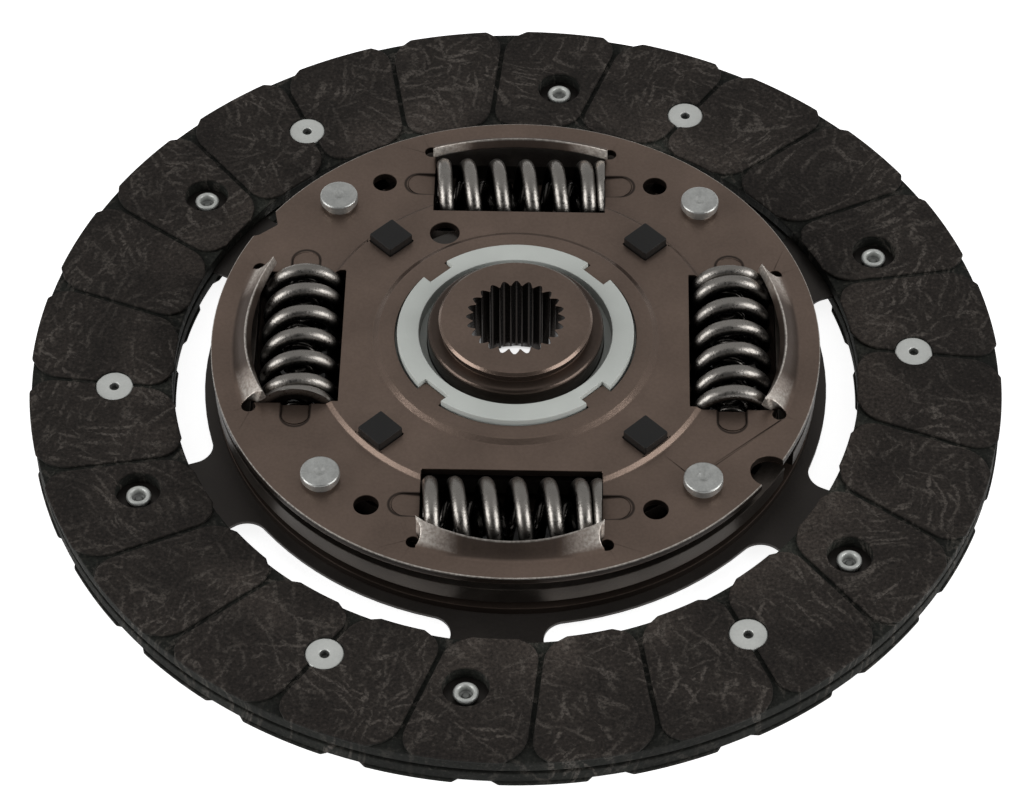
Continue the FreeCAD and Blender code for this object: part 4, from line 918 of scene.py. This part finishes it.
class DISC_OT_carrier(bpy.types.Operator):
    """Make the sprung carrier plate between the friction rings"""

    bl_idname = "disc.carrier"
    bl_label = "Carrier plate"

    def execute(self, context):
        dress("carrier_plate", "cushion_plate", "plates", "black_steel", 0.12)
        return {"FINISHED"}


def flare_lips(form):
    """Curve the spring lips of the cover up from their roots, and raise their ends."""
    sizes = bpy.context.scene.clutch_disc.sizes
    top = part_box("cover_plate")[0].z + sizes.sheet
    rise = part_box("cover_plate")[1].z - top
    lean, sink, bend = 1.5 * MM, 0.4 * MM, 1.6
    cuts = [((0, 0, top + rise * level), (0, 0, 1)) for level in (0.02, 0.12, 0.25, 0.4, 0.6, 0.8)]
    for place in range(-15, 16, 5):
        cuts += [((place * MM, 0, 0), (1, 0, 0)), ((0, place * MM, 0), (0, 1, 0))]
    for point, normal in cuts:
        lips = {face for face in form.faces if face.calc_center_median().z > top + 0.01 * MM
                and face.calc_center_median().xy.length > sizes.lip_circle}
        edges = {edge for face in lips for edge in face.edges}
        corners = {vertex for face in lips for vertex in face.verts}
        bmesh.ops.bisect_plane(form, geom=list(lips) + list(edges) + list(corners), dist=0.0001 * MM,
                               plane_co=point, plane_no=normal)
    moved = 0
    for vertex in form.verts:
        level = (vertex.co.z - top) / rise
        if level < 0.01 or vertex.co.xy.length < sizes.lip_circle:
            continue
        side = round(math.atan2(vertex.co.y, vertex.co.x) / (math.pi / 2)) * math.pi / 2
        out = Vector((math.cos(side), math.sin(side), 0))
        along = Vector((-math.sin(side), math.cos(side), 0))
        end = (vertex.co.dot(along) / sizes.lip_width) ** 2
        vertex.co.z = top + rise * level ** bend + level * (sizes.lip_lift * end - sink)
        vertex.co -= out * (lean * level * end)
        moved += 1
    if moved < 200:
        raise RuntimeError("the lips of the cover weren't found")


class DISC_OT_plates(bpy.types.Operator):
    """Make the stepped cover plate and the drive plate"""

    bl_idname = "disc.plates"
    bl_label = "Cover and drive plates"

    def execute(self, context):
        edge = context.scene.clutch_disc.sizes.sheet_edge / MM
        dress("cover_pressing", "cover_plate", "plates", "brown_steel", edge, after=flare_lips)
        dress("drive_pressing", "drive_plate", "plates", "brown_steel", edge)
        return {"FINISHED"}


class DISC_OT_stop_rivets(bpy.types.Operator):
    """Make the four stepped rivets that join the plates"""

    bl_idname = "disc.stop_rivets"
    bl_label = "Stop rivets"

    def execute(self, context):
        sizes = context.scene.clutch_disc.sizes
        # Heights in millimetres of the rivet's ends and of the sheets that it joins.
        bottom, end = (corner.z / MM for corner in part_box("stop_rivets"))
        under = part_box("cover_plate")[0].z / MM
        top = under + sizes.sheet / MM
        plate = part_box("drive_plate")[1].z / MM
        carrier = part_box("cushion_plate")[0].z / MM
        shank, spacer, foot, head = 2.5, 3.7, 3.95, 3.95
        profile = [(0, bottom)]
        profile += rounded(foot - 0.4, bottom + 0.4, 0.4, -90, 0, 3)
        profile += [(foot, carrier), (shank, carrier), (shank, plate), (spacer, plate),
                    (spacer, under), (shank, under), (shank, top), (3.35, top), (3.3, top + 0.45)]
        profile += rounded(head - 0.4, top + 1.1, 0.4, -80, 0, 3)
        profile += rounded(head - 0.5, end - 0.5, 0.5, 0, 90, 5)
        profile += [(1.35, end), (1.2, end - 0.08), (0.5, end - 0.42), (0, end - 0.5)]
        piece = new_object("stop_rivets_turned", lathe(profile, 48))
        run_tree(piece, rivet_tree(), {"Count": 4, "Start": math.radians(45), "Circle": sizes.stop_circle,
                                       "Finish": material("rivet_zinc")})
        smooth_corners(piece)
        hand_over(piece, "plates", "rivet_zinc", "stop_rivets", finish="upset_zinc")
        return {"FINISHED"}


def sharpen_teeth(form):
    """Carry the hub's narrow spline teeth up to its end face, and widen that face."""
    sizes = bpy.context.scene.clutch_disc.sizes
    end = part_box("hub")[1].z
    pitch = 2 * math.pi / sizes.tooth_count
    lead_depth, narrowing, head_height, widening = 2.0 * MM, 0.55, 2.4 * MM, 0.035
    moved = 0
    for vertex in form.verts:
        radius = vertex.co.xy.length
        if radius < sizes.valley_circle + 0.5 * MM:
            if vertex.co.z > end - lead_depth:
                vertex.co.z = end
                moved += 1
            # Valleys lie at whole numbers of pitches, and teeth half way between them.
            turns = math.atan2(vertex.co.y, vertex.co.x) / pitch
            tooth = math.floor(turns) + 0.5
            inward = min(max((sizes.valley_circle - radius) / sizes.tooth_depth, 0.0), 1.0)
            angle = (tooth + (turns - tooth) * (1 - narrowing * inward)) * pitch
            vertex.co.xy = (radius * math.cos(angle), radius * math.sin(angle))
        elif 13 * MM < radius < 16.5 * MM and vertex.co.z > end - head_height:
            vertex.co.xy *= 1 + widening * min((vertex.co.z - end + head_height) / (head_height / 2), 1.0)
    if moved < 2 * sizes.tooth_count:
        raise RuntimeError("the teeth of the hub weren't found")


class DISC_OT_hub(bpy.types.Operator):
    """Make the splined hub and the flange that it drives"""

    bl_idname = "disc.hub"
    bl_label = "Hub and flange"

    def execute(self, context):
        dress("splined_hub", "hub", "hub", "brown_steel", 0.12, before=sharpen_teeth)
        dress("driven_flange", "hub_flange", "hub", "flange_steel", 0.15)
        return {"FINISHED"}


class DISC_OT_bushes(bpy.types.Operator):
    """Make the bushes, the washers and the lug ring"""

    bl_idname = "disc.bushes"
    bl_label = "Bushes and lug ring"

    def execute(self, context):
        dress("centring_bush", "guide_bush", "plates", "pale_plastic", 0.25)
        dress("drive_side_bush", "lower_bush", "plates", "pale_plastic", 0.2)
        dress("lugged_ring", "lug_ring", "plates", "black_plastic", 0.3)
        dress("washer_upper", "upper_friction_washer", "plates", "black_plastic", 0.1)
        dress("washer_lower", "lower_friction_washer", "plates", "black_plastic", 0.1)
        # The waved washer takes the darker spring steel: painted shade.
        dress("waved_washer", "wave_spring", "plates", "spring_steel", 0.08, "dark_spring_steel")
        return {"FINISHED"}


class DISC_OT_springs(bpy.types.Operator):
    """Wind the outer and inner damper springs"""

    bl_idname = "disc.springs"
    bl_label = "Damper springs"

    def execute(self, context):
        sizes = context.scene.clutch_disc.sizes
        tree = spring_tree()
        low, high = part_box("outer_spring_right")
        height = (low.z + high.z) / 2
        kinds = {
            "outer": {"Turns": sizes.spring_turns, "Radius": sizes.spring_radius, "Wire": sizes.spring_wire,
                      "Hand": -1.0, "First Closed": sizes.first_closed, "Last Closed": sizes.last_closed,
                      "Steps": 320, "Sides": 16, "Finish": material("spring_steel")},
            # The inner springs take the darker spring steel: painted shade.
            "inner": {"Turns": sizes.inner_turns, "Radius": sizes.inner_radius, "Wire": sizes.inner_wire,
                      "Hand": 1.0, "First Closed": 1.0, "Last Closed": 1.0,
                      "Steps": 260, "Sides": 10, "Finish": material("dark_spring_steel")},
        }
        for kind, values in kinds.items():
            for side, (direction, turned) in SIDES.items():
                piece = new_object("%s_spring_%s_wound" % (kind, side), bmesh.new())
                run_tree(piece, tree, {
                    **values, "Length": sizes.spring_length, "Place": sizes.spring_place, "Height": height,
                    "Turned": math.radians(turned), "Side": math.radians(direction)})
                if len(piece.data.polygons) < 1000:
                    raise RuntimeError("a spring came out empty")
                piece.data.set_sharp_from_angle(angle=math.radians(40))
                # Inner springs take the darker spring steel: painted shade.
                hand_over(piece, "springs", "spring_steel", "%s_spring_%s" % (kind, side),
                          finish="spring_steel" if kind == "outer" else "dark_spring_steel")
                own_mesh(piece)
        return {"FINISHED"}


def make_floor(colours):
    """Pale paper that takes the disc's shadow, and shows white to the camera."""
    form = bmesh.new()
    bmesh.ops.create_grid(form, x_segments=8, y_segments=8, size=3.0)
    floor = new_object("studio_floor", form)
    floor.data.transform(Matrix.Translation((0, 0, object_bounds()[0][2])))
    paper, tree, place = new_material("pale_studio_paper")
    pale_fibre = (0.82, 0.82, 0.82)
    tone = blend(tree, noise(tree, place, 2.5, 2.0), colours.floor, pale_fibre)
    seen = add(tree, "ShaderNodeLightPath").outputs
    mirrored = maths(tree, "MAXIMUM", seen["Is Camera Ray"], seen["Is Glossy Ray"])
    through = maths(tree, "MAXIMUM", mirrored, seen["Is Transmission Ray"])
    # Under the damper the paper shows only in the disc's own shadow.
    glow, away = 0.88, vector(tree, "LENGTH", place)
    beyond = ramp(tree, away, 56 * MM, 58 * MM, 0.0, glow)
    within = ramp(tree, away, 12 * MM, 14 * MM, glow, 0.0)
    shown = maths(tree, "MULTIPLY", through, maths(tree, "MAXIMUM", beyond, within))
    surface = add(tree, "ShaderNodeBsdfPrincipled", {
        "Base Color": tone, "Roughness": 0.9, "Emission Color": (1.0, 1.0, 1.0), "Emission Strength": shown})
    add(tree, "ShaderNodeOutputMaterial", {0: surface.outputs[0]})
    floor.data.materials.append(paper)
    floor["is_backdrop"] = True


def make_sky(scene):
    """Room that is pale above and behind the disc, and dark on the camera's side."""
    world = bpy.data.worlds.new("soft_sky")
    scene.world = world
    world.use_nodes = True
    tree = world.node_tree
    tree.nodes.clear()
    look = add(tree, "ShaderNodeTexCoord").outputs["Generated"]
    ahead = vector(tree, "DOT_PRODUCT", look, (0.0, -0.80, 0.60))
    dim = ramp(tree, ahead, 0.76, 0.96, 0.47, 0.03, "SMOOTHSTEP")
    sky = add(tree, "ShaderNodeBackground", {0: (1.0, 1.0, 1.0), 1: dim})
    add(tree, "ShaderNodeOutputWorld", {0: sky.outputs[0]})


def make_softboxes(scene):
    """Two large lamps that stand low at the near left and the near right."""
    for name, way in (("softbox_left", -1), ("softbox_right", 1)):
        lamp = bpy.data.lights.new(name, "AREA")
        lamp.shape = "SQUARE"
        lamp.size = 0.75
        lamp.energy = 6.4
        box = bpy.data.objects.new(name, lamp)
        scene.collection.objects.link(box)
        place = Vector((way * 0.95, -0.33, 0.46))
        box.matrix_world = Matrix.Translation(place) @ place.to_track_quat("Z", "Y").to_matrix().to_4x4()


def make_camera(scene):
    """Camera that looks down at 49 degrees from the near side, slightly to the right."""
    azimuth, elevation, roll = 0.0222457, 0.8563524, -0.0014352
    distance, target = 0.806398, Vector((-0.00051547, -0.01004502, 0.0078))
    forward = Vector((-math.sin(azimuth) * math.cos(elevation),
                      math.cos(azimuth) * math.cos(elevation), -math.sin(elevation)))
    level = Vector((math.cos(azimuth), math.sin(azimuth), 0))
    raised = level.cross(forward)
    right = math.cos(roll) * level + math.sin(roll) * raised
    up = -math.sin(roll) * level + math.cos(roll) * raised
    lens = bpy.data.cameras.new("photo_camera")
    lens.sensor_width = 36.0
    lens.lens = 138.58
    camera = bpy.data.objects.new("photo_camera", lens)
    scene.collection.objects.link(camera)
    turned = Matrix((right, up, -forward)).transposed().to_4x4()
    camera.matrix_world = Matrix.Translation(target - forward * distance) @ turned
    scene.camera = camera


class DISC_OT_studio(bpy.types.Operator):
    """Make the pale floor, the soft lamps and the camera"""

    bl_idname = "disc.studio"
    bl_label = "Studio"

    def execute(self, context):
        make_floor(context.scene.clutch_disc.colours)
        make_sky(context.scene)
        make_softboxes(context.scene)
        make_camera(context.scene)
        context.scene.view_settings.view_transform = "Standard"
        return {"FINISHED"}


OPERATORS = (
    DISC_OT_friction_rings, DISC_OT_lining_rivets, DISC_OT_carrier, DISC_OT_plates,
    DISC_OT_stop_rivets, DISC_OT_hub, DISC_OT_bushes, DISC_OT_springs, DISC_OT_studio,
)


class DISC_PT_sidebar(bpy.types.Panel):
    """Lists the steps that build the disc"""

    bl_idname = "DISC_PT_sidebar"
    bl_label = "Clutch disc"
    bl_space_type = "VIEW_3D"
    bl_region_type = "UI"
    bl_category = "Clutch disc"

    def draw(self, context):
        for step in OPERATORS:
            self.layout.operator(step.bl_idname)
        settings = context.scene.clutch_disc
        for group in (settings.sizes, settings.colours):
            for name in group.bl_rna.properties.keys():
                if name not in {"rna_type", "name"}:
                    self.layout.prop(group, name)


CLASSES = (DiscSizes, DiscColours, DiscSettings) + OPERATORS + (DISC_PT_sidebar,)


def register():
    for item in CLASSES:
        bpy.utils.register_class(item)
    bpy.types.Scene.clutch_disc = PointerProperty(type=DiscSettings)


def unregister():
    del bpy.types.Scene.clutch_disc
    for item in reversed(CLASSES):
        bpy.utils.unregister_class(item)


def main():
    register()
    for step in OPERATORS:
        group, name = step.bl_idname.split(".")
        getattr(getattr(bpy.ops, group), name)()
    bpy.context.view_layer.update()


if __name__ == "__main__":
    main()
